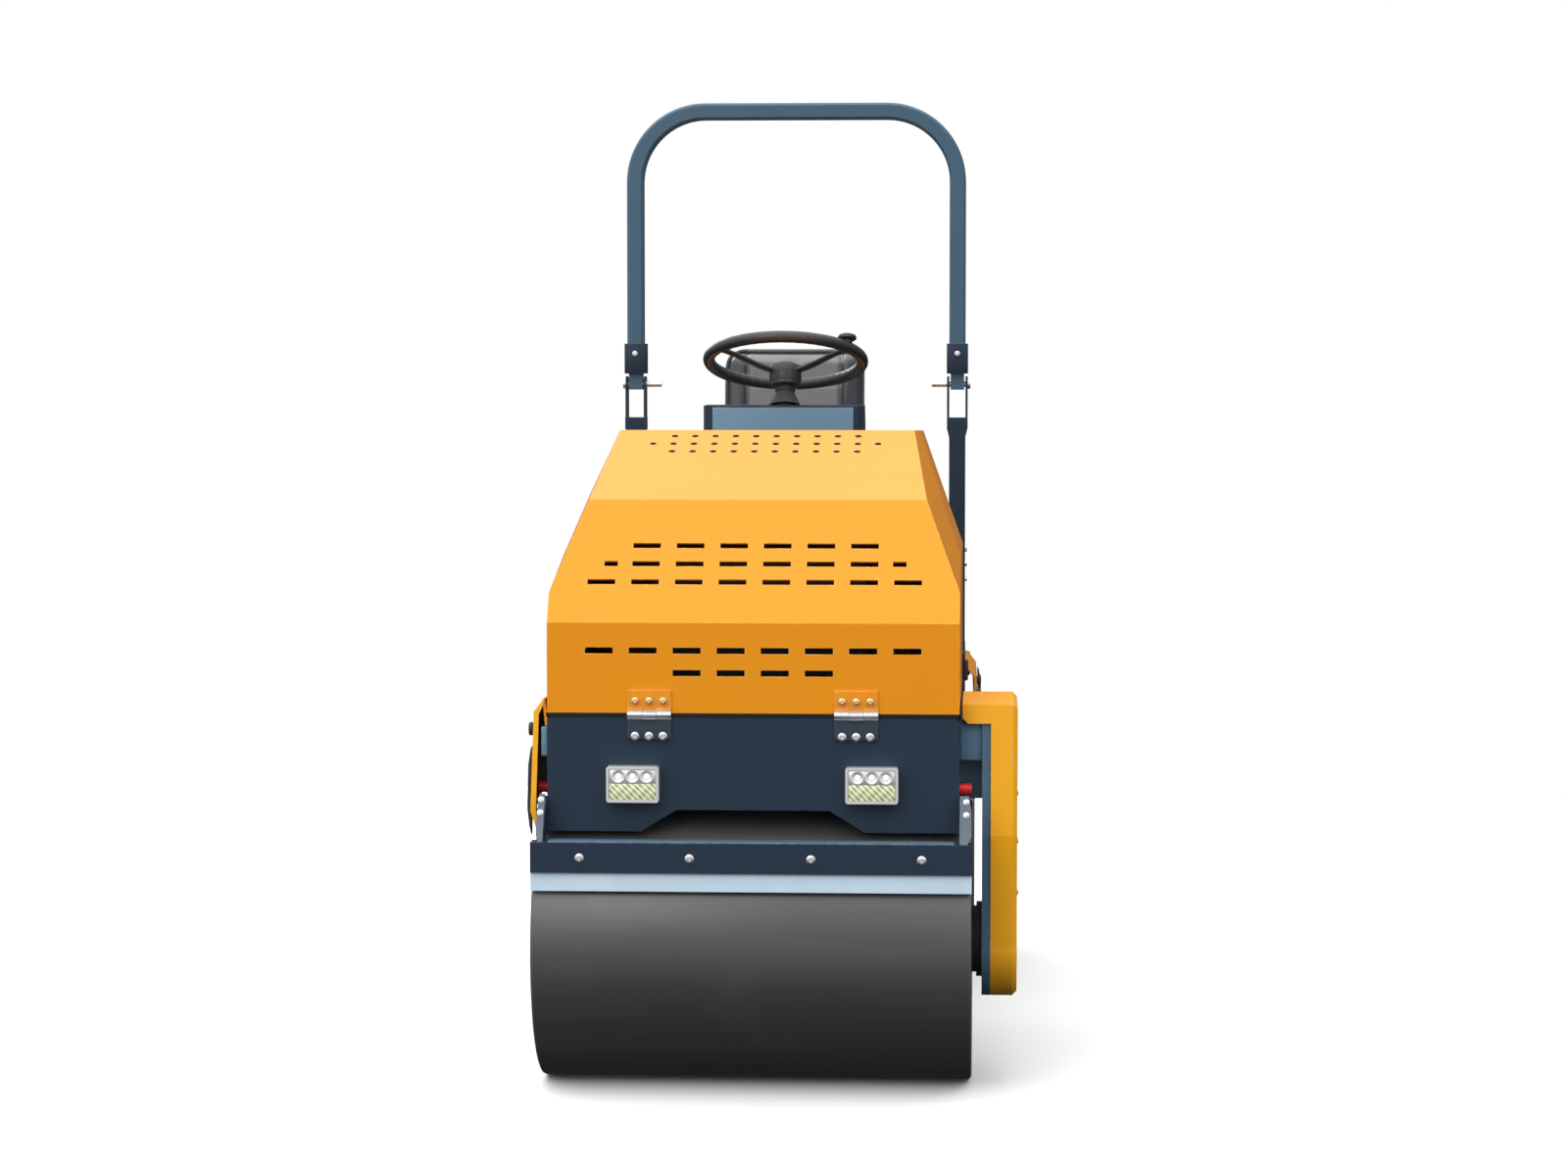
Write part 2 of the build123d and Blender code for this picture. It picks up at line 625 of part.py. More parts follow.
def scraper_beam():
    """Angle-section beam in front of the blade, with a hanger plate at each end."""
    back = blade_face() - BLADE_THICKNESS
    shelf = BEAM_TOP - BEAM_PLATE
    beam = block(-SCRAPER_HALF, SCRAPER_HALF, back - BEAM_PLATE, back, BEAM_BOTTOM, BEAM_TOP)
    beam += block(-SCRAPER_HALF, SCRAPER_HALF, back, back + BEAM_FLANGE, shelf, BEAM_TOP)
    hanger = plate_yz(
        [(back, shelf), (back + BEAM_FLANGE, shelf), (FACE_Y + HANGER_REACH, NOTCH_TOP - HANGER_LOW),
         (FACE_Y + HANGER_REACH, NOTCH_TOP + HANGER_HIGH), (FACE_Y - HANGER_NOSE, NOTCH_TOP + HANGER_HIGH),
         (back, BEAM_TOP)],
        FRAME_HALF, FRAME_HALF + HANGER_PLATE,
    )
    return beam + hanger + mirror(hanger, about=Plane.YZ)


# ---------------------------------------------------------------- hood
def unit(dy, dz):
    """Direction of a step in the side view, as a vector of length one."""
    return Vector(0, dy, dz).normalized()


def hood_profile(inset):
    """Side outline of the hood, each panel moved inwards by the inset along its normal."""
    slope = unit(KNEE_Y - FACE_Y, KNEE_Z - BROW_Z)
    top = unit(CREST_Y - KNEE_Y, CREST_Z - KNEE_Z)
    face_cut = inset * (1 - slope.Y) / slope.Z
    knee_turn = inset / (1 + slope.Y * top.Y + slope.Z * top.Z)
    low = HOOD_BASE - (1 if inset else 0)
    rear = -HOOD_TO_PIVOT - inset
    return [
        (FACE_Y + inset, low), (FACE_Y + inset, BROW_Z - face_cut),
        (KNEE_Y + knee_turn * (slope.Z + top.Z), KNEE_Z - knee_turn * (slope.Y + top.Y)),
        (CREST_Y, CREST_Z - inset), (rear, HOOD_TOP - inset), (rear, low),
    ]


def hood_form(inset):
    """Solid form of the hood, or of its inside when inset by the sheet thickness."""
    profile = hood_profile(inset)
    low = profile[0][1]
    half = FRAME_HALF - inset
    shoulder = FRAME_HALF - HOOD_TOP_INSET - inset
    roof = CREST_Z + 1
    section = [(-half, low), (-half, BREAK_Z), (-shoulder, roof), (shoulder, roof), (half, BREAK_Z), (half, low)]
    form = plate_yz(profile, -half, half) & plate_xz(section, FACE_Y + inset, -HOOD_TO_PIVOT - inset)
    start_run = HOOD_FACET_START * HOOD_KNEE_RUN + inset
    start_rise = HOOD_FACET_START * HOOD_KNEE_RISE - inset
    start = Vector(half, FACE_Y + start_run, BROW_Z + start_rise)
    knee = Vector(half - HOOD_KNEE_INSET, KNEE_Y + inset, KNEE_Z - inset)
    crest = Vector(half - HOOD_CREST_INSET, CREST_Y + inset, CREST_Z - inset)
    lean = HOOD_TOP_INSET / (CREST_Z - BREAK_Z)
    flank = Vector(half - (KNEE_Z - BREAK_Z) * lean, KNEE_Y + HOOD_FACET, KNEE_Z - inset)
    for low, high in [(start, knee), (knee, crest)]:
        normal = (high - low).cross(flank - knee).normalized()
        if normal.X < 0:
            normal = -normal
        facet = Plane(origin=tuple(low), z_dir=tuple(normal))
        twin = Plane(origin=(-low.X, low.Y, low.Z), z_dir=(-normal.X, normal.Y, normal.Z))
        form = split(split(form, facet, keep=Keep.BOTTOM), twin, keep=Keep.BOTTOM)
    return form


def grille_cutter(row):
    """One opening of a row: a slot, or a many-sided hole whose radius is the row's length."""
    depth = 6 * HOOD_SHEET
    if row.panel == "top":
        return Pos(0, 0, -depth / 2) * extrude(RegularPolygon(row.length, HOLE_SIDES), depth)
    return Box(row.length, SLOT_WIDTH, depth)


def grille(row):
    """A row of openings across the face, the slope or the top of the hood."""
    panels = {
        "face": ((FACE_Y, RAIL_TOP), (FACE_Y, BROW_Z)),
        "slope": ((FACE_Y, BROW_Z), (KNEE_Y, KNEE_Z)),
        "top": ((KNEE_Y, KNEE_Z), (CREST_Y, CREST_Z)),
    }
    (y0, z0), (y1, z1) = panels[row.panel]
    along = unit(y1 - y0, z1 - z0) * row.up
    tilt = degrees(atan2(z1 - z0, y1 - y0))
    return [Pos(x, y0 + along.Y, z0 + along.Z) * Rot(tilt, 0, 0) * grille_cutter(row)
            for x in spread(row.count, row.pitch)]


def side_grille(row):
    """A row of slots through both side walls of the hood."""
    slot = Box(4 * FRAME_HALF, row.length, SLOT_WIDTH)
    return [Pos(0, FACE_Y + SIDE_SLOT_LEAD + y, RAIL_TOP + row.up) * slot for y in spread(row.count, row.pitch)]


def hood():
    """Sheet-metal engine hood with faceted corners and rows of slots and holes, open below."""
    shell = hood_form(0.0) - hood_form(HOOD_SHEET)
    for row in SLOT_ROWS + HOLE_ROWS:
        shell -= grille(row)
    for row in SIDE_SLOT_ROWS:
        shell -= side_grille(row)
    return shell


def hinge_leaf(upper):
    """One leaf of a front hinge: knuckles at the ends above, in the middle below."""
    third = HINGE_WIDTH / 3
    x0 = HINGE_X - HINGE_WIDTH / 2
    front = FACE_Y - HINGE_SHEET
    if upper:
        leaf = block(x0, x0 + HINGE_WIDTH, front, FACE_Y, HOOD_BASE, RAIL_TOP + HINGE_LEAF)
        spans = [(0, third), (2 * third, 3 * third)]
    else:
        leaf = block(x0, x0 + HINGE_WIDTH, front, FACE_Y, RAIL_TOP - HINGE_LEAF, RAIL_TOP)
        spans = [(third + SEAT_GAP, 2 * third - SEAT_GAP)]
    leaf -= rod_x(HINGE_RADIUS + SEAT_GAP, x0, x0 + HINGE_WIDTH, HINGE_Y, RAIL_TOP)
    root_low = RAIL_TOP if upper else RAIL_TOP - 2 * HINGE_RADIUS
    for a, b in spans:
        leaf += rod_x(HINGE_RADIUS, x0 + a, x0 + b, HINGE_Y, RAIL_TOP)
        leaf += block(x0 + a, x0 + b, HINGE_Y, FACE_Y, root_low, root_low + 2 * HINGE_RADIUS)
    return leaf


def hood_hinges():
    leaf = hinge_leaf(True) - rod_x(HINGE_PIN + RUNNING_FIT, 0, FRAME_HALF, HINGE_Y, RAIL_TOP)
    return both_sides(leaf)


def plate_hinges():
    x0 = HINGE_X - HINGE_WIDTH / 2
    return both_sides(hinge_leaf(False) + rod_x(HINGE_PIN, x0, x0 + HINGE_WIDTH, HINGE_Y, RAIL_TOP))


def engine():
    """Engine and pump, kept as one block of their size under the hood."""
    y0 = FACE_Y + ENGINE_FRONT
    return block(-ENGINE_WIDTH / 2, ENGINE_WIDTH / 2, y0, y0 + ENGINE_LENGTH,
                 PLATFORM_TOP, PLATFORM_TOP + ENGINE_HEIGHT)


# ---------------------------------------------------------------- centre joint
def lug_levels():
    """Undersides of the two lugs that hold a cylinder eye."""
    half = CYL_EYE / 2 + LUG_GAP
    return [PIVOT_Z - half - LUG, PIVOT_Z + half]


def yoke():
    """Two forked plates on the front bulkhead, with the steering pin and the cylinder's foot lugs."""
    root_edge = Pos(0, BULKHEAD_BACK + YOKE_ROOT_DEPTH / 2, 0) * Rectangle(2 * YOKE_ROOT_HALF, YOKE_ROOT_DEPTH)
    outline = make_hull(Circle(YOKE_END_RADIUS).edges() + root_edge.edges())
    low = BOSS_LOW - YOKE_GAP - YOKE_PLATE
    high = BOSS_HIGH + YOKE_GAP
    body = extrude(Pos(0, 0, low) * outline, YOKE_PLATE, dir=(0, 0, 1))
    body += extrude(Pos(0, 0, high) * outline, YOKE_PLATE, dir=(0, 0, 1))
    body += rod_z(STEER_PIN_RADIUS, low - PIN_HEAD, high + YOKE_PLATE, 0, 0)
    body += rod_z(STEER_PIN_CAP, high + YOKE_PLATE, high + YOKE_PLATE + PIN_HEAD, 0, 0)
    low_lug, high_lug = lug_levels()
    for z in (low_lug, high_lug):
        body += rod_z(CYL_FOOT_EYE, z, z + LUG, CYL_FOOT_X, CYL_FOOT_Y)
        body += block(CYL_FOOT_X - CYL_FOOT_EYE, CYL_FOOT_X + CYL_FOOT_EYE, BULKHEAD_BACK, CYL_FOOT_Y, z, z + LUG)
    return body + rod_z(CYL_FOOT_PIN, low_lug, high_lug + LUG, CYL_FOOT_X, CYL_FOOT_Y)


def knuckle():
    """Centre knuckle: boss round the steering pin, swivel shaft and cylinder lugs."""
    body = rod_z(BOSS_RADIUS, BOSS_LOW, BOSS_HIGH, 0, 0)
    body += rod_y(SWIVEL_RADIUS, 0, -BULKHEAD_BACK, 0, PIVOT_Z)
    body += rod_y(COLLAR_RADIUS, BEARING_START - COLLAR_LENGTH, BEARING_START - SEAT_GAP, 0, PIVOT_Z)
    link_end = Pos(CYL_HEAD_X, CYL_HEAD_Y, 0) * Circle(LINK_END_RADIUS)
    link = make_hull(Circle(LINK_ROOT_RADIUS).edges() + link_end.edges())
    low, high = lug_levels()
    for z in (low, high):
        body += extrude(Pos(0, 0, z) * link, LUG, dir=(0, 0, 1))
    body += rod_z(CYL_HEAD_PIN, low, high + LUG, CYL_HEAD_X, CYL_HEAD_Y)
    return body - rod_z(STEER_PIN_RADIUS + RUNNING_FIT, BOSS_LOW, BOSS_HIGH, 0, 0)


def swivel_bearing():
    """Ribbed bearing tube on the rear bulkhead in which the knuckle's shaft swivels."""
    back = -BULKHEAD_BACK
    start = BEARING_START + RIB_LEAD
    lower = PIVOT_Z - BULKHEAD_BOTTOM
    body = rod_y(BEARING_RADIUS, BEARING_START, back, 0, PIVOT_Z)
    body += rod_y(BEARING_FLANGE_RADIUS, back - BEARING_FLANGE, back, 0, PIVOT_Z)
    for reach in (RIB_HEIGHT, -lower):
        body += plate_yz([(start, PIVOT_Z), (back, PIVOT_Z), (back, PIVOT_Z + reach),
                          (back - RIB_TIP, PIVOT_Z + reach)], -RIB / 2, RIB / 2)
    return body - rod_y(SWIVEL_RADIUS + RUNNING_FIT, BEARING_START, back, 0, PIVOT_Z)


# ---------------------------------------------------------------- steering cylinder
def along_cylinder(shape):
    """Places a shape built along +X from the cylinder's foot eye."""
    return Pos(CYL_FOOT_X, CYL_FOOT_Y, PIVOT_Z) * Rot(0, 0, CYL_ANGLE) * shape


def cylinder_barrel():
    eye = rod_z(CYL_FOOT_EYE, -CYL_EYE / 2, CYL_EYE / 2, 0, 0)
    end = CYL_RUN - BARREL_TO_HEAD
    tube = rod_x(BARREL_RADIUS, BARREL_START, end, 0, 0)
    tube -= rod_x(BARREL_BORE, BARREL_START + BARREL_CAP, end - BARREL_CAP, 0, 0)
    tube -= rod_x(ROD_RADIUS + RUNNING_FIT, BARREL_START + BARREL_CAP, end, 0, 0)
    tube -= rod_z(BARREL_RADIUS + LUG_GAP, -BARREL_RADIUS, BARREL_RADIUS, 0, 0)
    neck = block(0, BARREL_START + BARREL_CAP / 2, -BARREL_NECK / 2, BARREL_NECK / 2, -CYL_EYE / 2, CYL_EYE / 2)
    body = eye + tube + neck
    return along_cylinder(body - rod_z(CYL_FOOT_PIN + RUNNING_FIT, -CYL_EYE, CYL_EYE, 0, 0))


def cylinder_rod():
    bore = CYL_HEAD_PIN + CYL_HEAD_CLEARANCE
    body = rod_z(bore + CYL_HEAD_WALL, -CYL_EYE / 2, CYL_EYE / 2, CYL_RUN, 0)
    body += rod_x(ROD_RADIUS, PISTON_START, CYL_RUN - bore, 0, 0)
    body += rod_x(BARREL_BORE - RUNNING_FIT, PISTON_START, PISTON_START + PISTON, 0, 0)
    return along_cylinder(body - rod_z(bore, -CYL_EYE, CYL_EYE, CYL_RUN, 0))


# ---------------------------------------------------------------- operator's place
def deck():
    """Footplate with a turned-down front lip, on two gussets from the bulkhead."""
    rear = -BULKHEAD_BACK
    half = FRAME_HALF
    corner = FRAME_HALF - DECK_CORNER
    under = DECK_TOP - DECK_SHEET
    sheet = plate_xy(
        [(-half, rear), (-half, DECK_FRONT + DECK_CORNER), (-corner, DECK_FRONT), (corner, DECK_FRONT),
         (half, DECK_FRONT + DECK_CORNER), (half, rear)],
        under, DECK_TOP,
    )
    lip = block(-corner, corner, DECK_FRONT, DECK_FRONT + DECK_SHEET, DECK_TOP - DECK_LIP, DECK_TOP)
    gusset_x = FRAME_HALF - DECK_GUSSET_INSET
    gusset = plate_yz(
        [(DECK_FRONT + DECK_SHEET, under), (rear, under), (rear, DECK_TOP - DECK_GUSSET_DROP),
         (DECK_FRONT + DECK_SHEET, DECK_TOP - DECK_LIP)],
        gusset_x - DECK_GUSSET / 2, gusset_x + DECK_GUSSET / 2,
    )
    return sheet + lip + gusset + mirror(gusset, about=Plane.YZ)


def console():
    """Steering console with rounded upright corners and a top falling to the operator."""
    y1 = CONSOLE_FRONT + CONSOLE_LENGTH
    body = block(-CONSOLE_HALF, CONSOLE_HALF, CONSOLE_FRONT, y1, DECK_TOP, CONSOLE_TOP)
    body = fillet(body.edges().filter_by(Axis.Z), CONSOLE_CORNER)
    wedge = [(CONSOLE_FRONT + CONSOLE_FLAT, CONSOLE_TOP), (y1, CONSOLE_TOP - CONSOLE_DROP), (y1, CONSOLE_TOP)]
    return body - plate_yz(wedge, -CONSOLE_HALF, CONSOLE_HALF)


def on_wheel_axis(shape):
    """Places a shape built about +Z on the tilted steering wheel's axis."""
    return Pos(0, WHEEL_Y, WHEEL_Z) * Rot(-WHEEL_TILT, 0, 0) * shape


def turned_profile(points):
    """Solid of revolution about Z from points of (radius, height)."""
    return revolve(make_face(Polyline(*[(r, 0, z) for r, z in points], close=True)), Axis.Z)


def steering_wheel():
    """Rim, dished spokes, hub and a spinner knob, about +Z before it is tilted."""
    low = -WHEEL_DISH - WHEEL_HUB_HALF
    high = -WHEEL_DISH + WHEEL_HUB_HALF
    cut = WHEEL_HUB_CHAMFER
    sides = [radians(i * 360 / RIM_SIDES) for i in range(RIM_SIDES)]
    wheel = turned_profile([(WHEEL_RADIUS + WHEEL_RIM * cos(a), WHEEL_RIM * sin(a)) for a in sides])
    wheel += turned_profile([(0, low), (WHEEL_HUB - cut, low), (WHEEL_HUB, low + cut), (WHEEL_HUB, high - cut),
                             (WHEEL_HUB - cut, high), (0, high)])
    rise = degrees(atan2(WHEEL_DISH, WHEEL_RADIUS))
    spoke_length = hypot(WHEEL_RADIUS, WHEEL_DISH) - WHEEL_HUB / 2
    spoke = Pos(WHEEL_HUB / 2 + spoke_length / 2, 0, 0) * Box(spoke_length, SPOKE_WIDTH, SPOKE_THICKNESS)
    for i in range(SPOKE_COUNT):
        turn = Rot(0, 0, 90 + i * 360 / SPOKE_COUNT)
        wheel += turn * Pos(0, 0, -WHEEL_DISH) * Rot(0, -rise, 0) * spoke
    knob_foot = WHEEL_RIM + KNOB_STEM_LENGTH
    knob_top = knob_foot + KNOB_HEIGHT
    knob = turned_profile([(0, 0), (KNOB_STEM, 0), (KNOB_STEM, knob_foot), (KNOB_RADIUS * 0.7, knob_foot),
                           (KNOB_RADIUS, knob_foot + KNOB_HEIGHT * 0.4), (KNOB_RADIUS, knob_top - KNOB_HEIGHT * 0.3),
                           (KNOB_RADIUS * 0.7, knob_top), (0, knob_top)])
    wheel += Rot(0, 0, KNOB_ANGLE) * Pos(WHEEL_RADIUS, 0, 0) * knob
    return on_wheel_axis(wheel)


def steering_column():
    """Tilted column from the console's top to just under the wheel's hub, with a flared boot."""
    top = -WHEEL_DISH - WHEEL_HUB_HALF - SEAT_GAP
    boot = top - BOOT_DROP
    column = turned_profile([
        (0, top - COLUMN_LENGTH), (COLUMN_RADIUS, top - COLUMN_LENGTH), (COLUMN_RADIUS, boot - BOOT_HEIGHT / 2),
        (BOOT_RADIUS, boot - BOOT_HEIGHT / 2), (COLUMN_RADIUS, boot + BOOT_HEIGHT / 2), (COLUMN_RADIUS, top), (0, top),
    ])
    console_box = block(-CONSOLE_HALF, CONSOLE_HALF, CONSOLE_FRONT, CONSOLE_FRONT + CONSOLE_LENGTH,
                        DECK_TOP, CONSOLE_TOP)
    return on_wheel_axis(column) - console_box


def seat_housing_form(inset):
    """Solid form of the seat housing, or of its inside when inset by the sheet thickness."""
    front = -BULKHEAD_BACK + BULKHEAD + inset
    rear = -FACE_Y - FACE_PLATE - inset
    top = HOUSING_TOP - inset
    low = PLATFORM_TOP - (1 if inset else 0)
    half = FRAME_HALF - RAIL_FLANGE - SEAT_GAP - inset
    profile = [
        (front, low), (front, top - HOUSING_BROW_HEIGHT), (front + HOUSING_BROW, top),
        (rear - HOUSING_SLOPE, top), (rear, top - HOUSING_SLOPE_HEIGHT), (rear, low),
    ]
    return plate_yz(profile, -half, half)


def seat_housing():
    """Folded cover over the water and fuel tanks, carrying the seat."""
    return seat_housing_form(0.0) - seat_housing_form(HOUSING_SHEET)


def seat_base():
    """Pan on two rails between the housing and the cushion."""
    y0 = SEAT_FRONT + SEAT_PAN_LEAD
    half = SEAT_WIDTH / 2 - SEAT_PAN_INSET
    rail_out = half - SEAT_PAN_INSET
    under = HOUSING_TOP + SEAT_RAIL - SEAT_PAN
    pan = block(-half, half, y0, SEAT_REAR, under, HOUSING_TOP + SEAT_RAIL)
    rail = block(rail_out - RAIL_WIDTH, rail_out, y0, SEAT_REAR, HOUSING_TOP, under)
    return Pos(SEAT_OFFSET, 0, 0) * (pan + rail + mirror(rail, about=Plane.YZ))


def seat_cushion():
    half = SEAT_WIDTH / 2
    pad = block(SEAT_OFFSET - half, SEAT_OFFSET + half, SEAT_FRONT, SEAT_REAR,
                CUSHION_BOTTOM, CUSHION_BOTTOM + CUSHION)
    return fillet(pad.edges().filter_by(Axis.Z), CUSHION_CORNER)


def seat_back():
    pad = block(-BACK_WIDTH / 2, BACK_WIDTH / 2, 0, BACK_THICKNESS, 0, BACK_HEIGHT)
    pad = fillet(pad.edges().filter_by(Axis.Y), BACK_CORNER)
    return Pos(SEAT_OFFSET, SEAT_REAR + SEAT_GAP, CUSHION_BOTTOM + BACK_LIFT) * Rot(-BACK_LEAN, 0, 0) * pad


def drive_lever():
    """Travel lever beside the seat, on its gate plate."""
    gate = block(-GATE_WIDTH / 2, GATE_WIDTH / 2, -GATE_LENGTH / 2, GATE_LENGTH / 2, 0, GATE_SHEET)
    foot = LEVER_HEIGHT - GRIP_LENGTH
    lever = turned_profile([
        (0, 0), (LEVER_STEM, 0), (LEVER_STEM, foot), (GRIP_RADIUS * 0.6, foot),
        (GRIP_RADIUS, foot + GRIP_LENGTH * 0.5), (GRIP_RADIUS * 0.8, foot + GRIP_LENGTH * 0.85),
        (GRIP_RADIUS * 0.4, LEVER_HEIGHT), (0, LEVER_HEIGHT),
    ])
    return Pos(LEVER_X, LEVER_Y, HOUSING_TOP) * (gate + lever)


def tank_cap():
    y = -FACE_Y - FACE_PLATE - HOUSING_SLOPE - CAP_RADIUS - CAP_GAP
    cap = rod_z(CAP_RADIUS, HOUSING_TOP, HOUSING_TOP + CAP_HEIGHT, -LEVER_X, y)
    return chamfer(cap.edges().filter_by(GeomType.CIRCLE).sort_by(Axis.Z)[-1], CAP_CHAMFER)


# ---------------------------------------------------------------- roll-over hoop
def hoop_section():
    """Section of the hoop's tube, with its corners taken off."""
    section = Rectangle(TUBE_WIDTH, TUBE_DEPTH)
    return chamfer(section.vertices(), TUBE_CORNER)


def hoop():
    """Bent tube with a sleeve and tongue at each foot that fold in the forks."""
    top = HOOP_TOP - TUBE_WIDTH / 2
    foot = FOLD_Z + SLEEVE_START
    path = FilletPolyline((-POST_X, HOOP_Y, foot), (-POST_X, HOOP_Y, top), (POST_X, HOOP_Y, top),
                          (POST_X, HOOP_Y, foot), radius=HOOP_BEND)
    tube = sweep(Plane(origin=(-POST_X, HOOP_Y, foot), x_dir=(1, 0, 0), z_dir=(0, 0, 1)) * hoop_section(), path)
    return tube + sleeve(POST_X) + sleeve(-POST_X)


def sleeve(x):
    """Sleeve round the tube's foot, with the flat tongue that turns in the fork."""
    half = TUBE_WIDTH / 2 + SLEEVE_WALL
    depth = TUBE_DEPTH / 2 + SLEEVE_WALL
    start = FOLD_Z + SLEEVE_START
    body = block(x - half, x + half, HOOP_Y - depth, HOOP_Y + depth, start, FOLD_Z + SLEEVE_END)
    tongue_half = TUBE_WIDTH / 2 - TONGUE_INSET
    body += block(x - tongue_half, x + tongue_half, HOOP_Y - FORK_HALF, HOOP_Y + FORK_HALF,
                  FOLD_Z - TONGUE_TAIL, start)
    return body - rod_x(FOLD_PIN + RUNNING_FIT, x - half, x + half, HOOP_Y, FOLD_Z)


def hoop_post(x):
    """Lower post with the two-plate fork, its floor block, neck and foot."""
    inner = TUBE_WIDTH / 2
    outer = inner + SLEEVE_WALL
    floor = FOLD_Z - FORK_FLOOR
    shoulder = floor - FORK_BLOCK
    foot = RAIL_TOP + POST_FOOT
    cheek = block(inner, outer, -FORK_HALF, FORK_HALF, floor, FOLD_Z)
    cheek += rod_x(FORK_HALF, inner, outer, 0, FOLD_Z)
    cheek -= rod_x(FOLD_PIN, inner, outer, 0, FOLD_Z)
    shoe = block(-outer, outer, -TUBE_DEPTH / 2, TUBE_DEPTH / 2, shoulder, floor)
    neck = loft([Pos(0, 0, shoulder) * Rectangle(2 * outer, TUBE_DEPTH),
                 Pos(0, 0, shoulder - NECK) * Rectangle(TUBE_WIDTH, TUBE_DEPTH)])
    tube = extrude(Pos(0, 0, foot) * hoop_section(), shoulder - NECK - foot, dir=(0, 0, 1))
    base = block(-inner, inner, -TUBE_DEPTH, TUBE_DEPTH, RAIL_TOP, foot)
    post = cheek + mirror(cheek, about=Plane.YZ) + shoe + neck + tube + base
    return Pos(x, HOOP_Y, 0) * post


def hoop_posts():
    return Compound(children=[hoop_post(POST_X), hoop_post(-POST_X)])


def hoop_pins():
    """Fold pins with a head outside the fork and a handle inside it."""
    outer = TUBE_WIDTH / 2 + SLEEVE_WALL
    pin = rod_x(FOLD_PIN, POST_X - outer - FOLD_PIN_HANDLE, POST_X + outer, HOOP_Y, FOLD_Z)
    pin += rod_x(FOLD_PIN_HEAD, POST_X + outer, POST_X + outer + FOLD_PIN_CAP, HOOP_Y, FOLD_Z)
    return both_sides(pin)


def tow_lug():
    """Towing eye on the rear face plate, above the lamps."""
    z = RAIL_TOP - TOW_DROP
    lug = block(-TOW_LUG / 2, TOW_LUG / 2, -FACE_Y, -FACE_Y + TOW_LUG_REACH, z - TOW_LUG_HALF, z + TOW_LUG_HALF)
    lug = fillet(lug.edges().filter_by(Axis.X).sort_by(Axis.Y)[-2:], TOW_LUG_CORNER)
    return lug - rod_x(TOW_EYE_RADIUS, -TOW_LUG / 2, TOW_LUG / 2, -FACE_Y + TOW_LUG_REACH / 2, z)


# ---------------------------------------------------------------- nodes
FRONT_ONLY = {
    "front_chassis": front_chassis,
    "hood": hood,
    "hood_hinges": hood_hinges,
    "plate_hinges": plate_hinges,
    "engine": engine,
    "front_yoke": yoke,
    "knuckle": knuckle,
    "cylinder_barrel": cylinder_barrel,
    "cylinder_rod": cylinder_rod,
    "front_side_cover": front_side_cover,
}
BOTH_ENDS = {
    "drum": drum,
    "motor": motor,
    "arm": arm,
    "arm_cover": arm_cover,
    "face_plate": face_plate,
    "lamps": lamps,
    "tie_pins": tie_pins,
    "scraper_blade": scraper_blade,
    "scraper_beam": scraper_beam,
}
REAR_ONLY = {
    "rear_chassis": rear_chassis,
    "swivel_bearing": swivel_bearing,
    "deck": deck,
    "console": console,
    "steering_column": steering_column,
    "steering_wheel": steering_wheel,
    "seat_housing": seat_housing,
    "seat_base": seat_base,
    "seat_cushion": seat_cushion,
    "seat_back": seat_back,
    "drive_lever": drive_lever,
    "tank_cap": tank_cap,
    "hoop": hoop,
    "hoop_posts": hoop_posts,
    "hoop_pins": hoop_pins,
    "tow_lug": tow_lug,
    "rear_side_cover": rear_side_cover,
}

os.makedirs("parts", exist_ok=True)
for name, make in {**FRONT_ONLY, **REAR_ONLY}.items():
    export_step(make(), f"parts/{name}.step")
for name, make in BOTH_ENDS.items():
    piece = make()
    export_step(piece, f"parts/front_{name}.step")
    export_step(turned(piece), f"parts/rear_{name}.step")
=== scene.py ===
import json
import math

import bmesh
import bpy
from bpy.props import FloatProperty, FloatVectorProperty, IntProperty, PointerProperty
from mathutils import Matrix, Vector


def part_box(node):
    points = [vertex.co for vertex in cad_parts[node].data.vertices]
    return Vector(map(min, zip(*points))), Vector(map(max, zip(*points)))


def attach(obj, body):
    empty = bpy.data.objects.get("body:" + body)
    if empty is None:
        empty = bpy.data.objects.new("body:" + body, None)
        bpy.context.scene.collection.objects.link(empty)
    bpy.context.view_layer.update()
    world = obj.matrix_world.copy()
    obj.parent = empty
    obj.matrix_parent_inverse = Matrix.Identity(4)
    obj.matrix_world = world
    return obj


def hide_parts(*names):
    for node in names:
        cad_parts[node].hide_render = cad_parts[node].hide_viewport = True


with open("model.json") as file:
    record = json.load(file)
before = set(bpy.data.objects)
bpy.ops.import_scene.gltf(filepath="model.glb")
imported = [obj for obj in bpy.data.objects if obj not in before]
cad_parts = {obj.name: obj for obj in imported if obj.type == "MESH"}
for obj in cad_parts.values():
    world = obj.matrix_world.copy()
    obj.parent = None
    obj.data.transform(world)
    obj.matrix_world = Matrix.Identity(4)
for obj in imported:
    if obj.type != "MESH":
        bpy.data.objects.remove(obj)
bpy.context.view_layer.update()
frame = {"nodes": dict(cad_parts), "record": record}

bl_info = {
    "name": "Tandem road roller",
    "version": (1, 0, 0),
    "blender": (4, 5, 0),
    "location": "3D View > Sidebar > Roller",
    "description": "Finishes and fittings of a ride-on tandem road roller",
    "category": "Object",
}


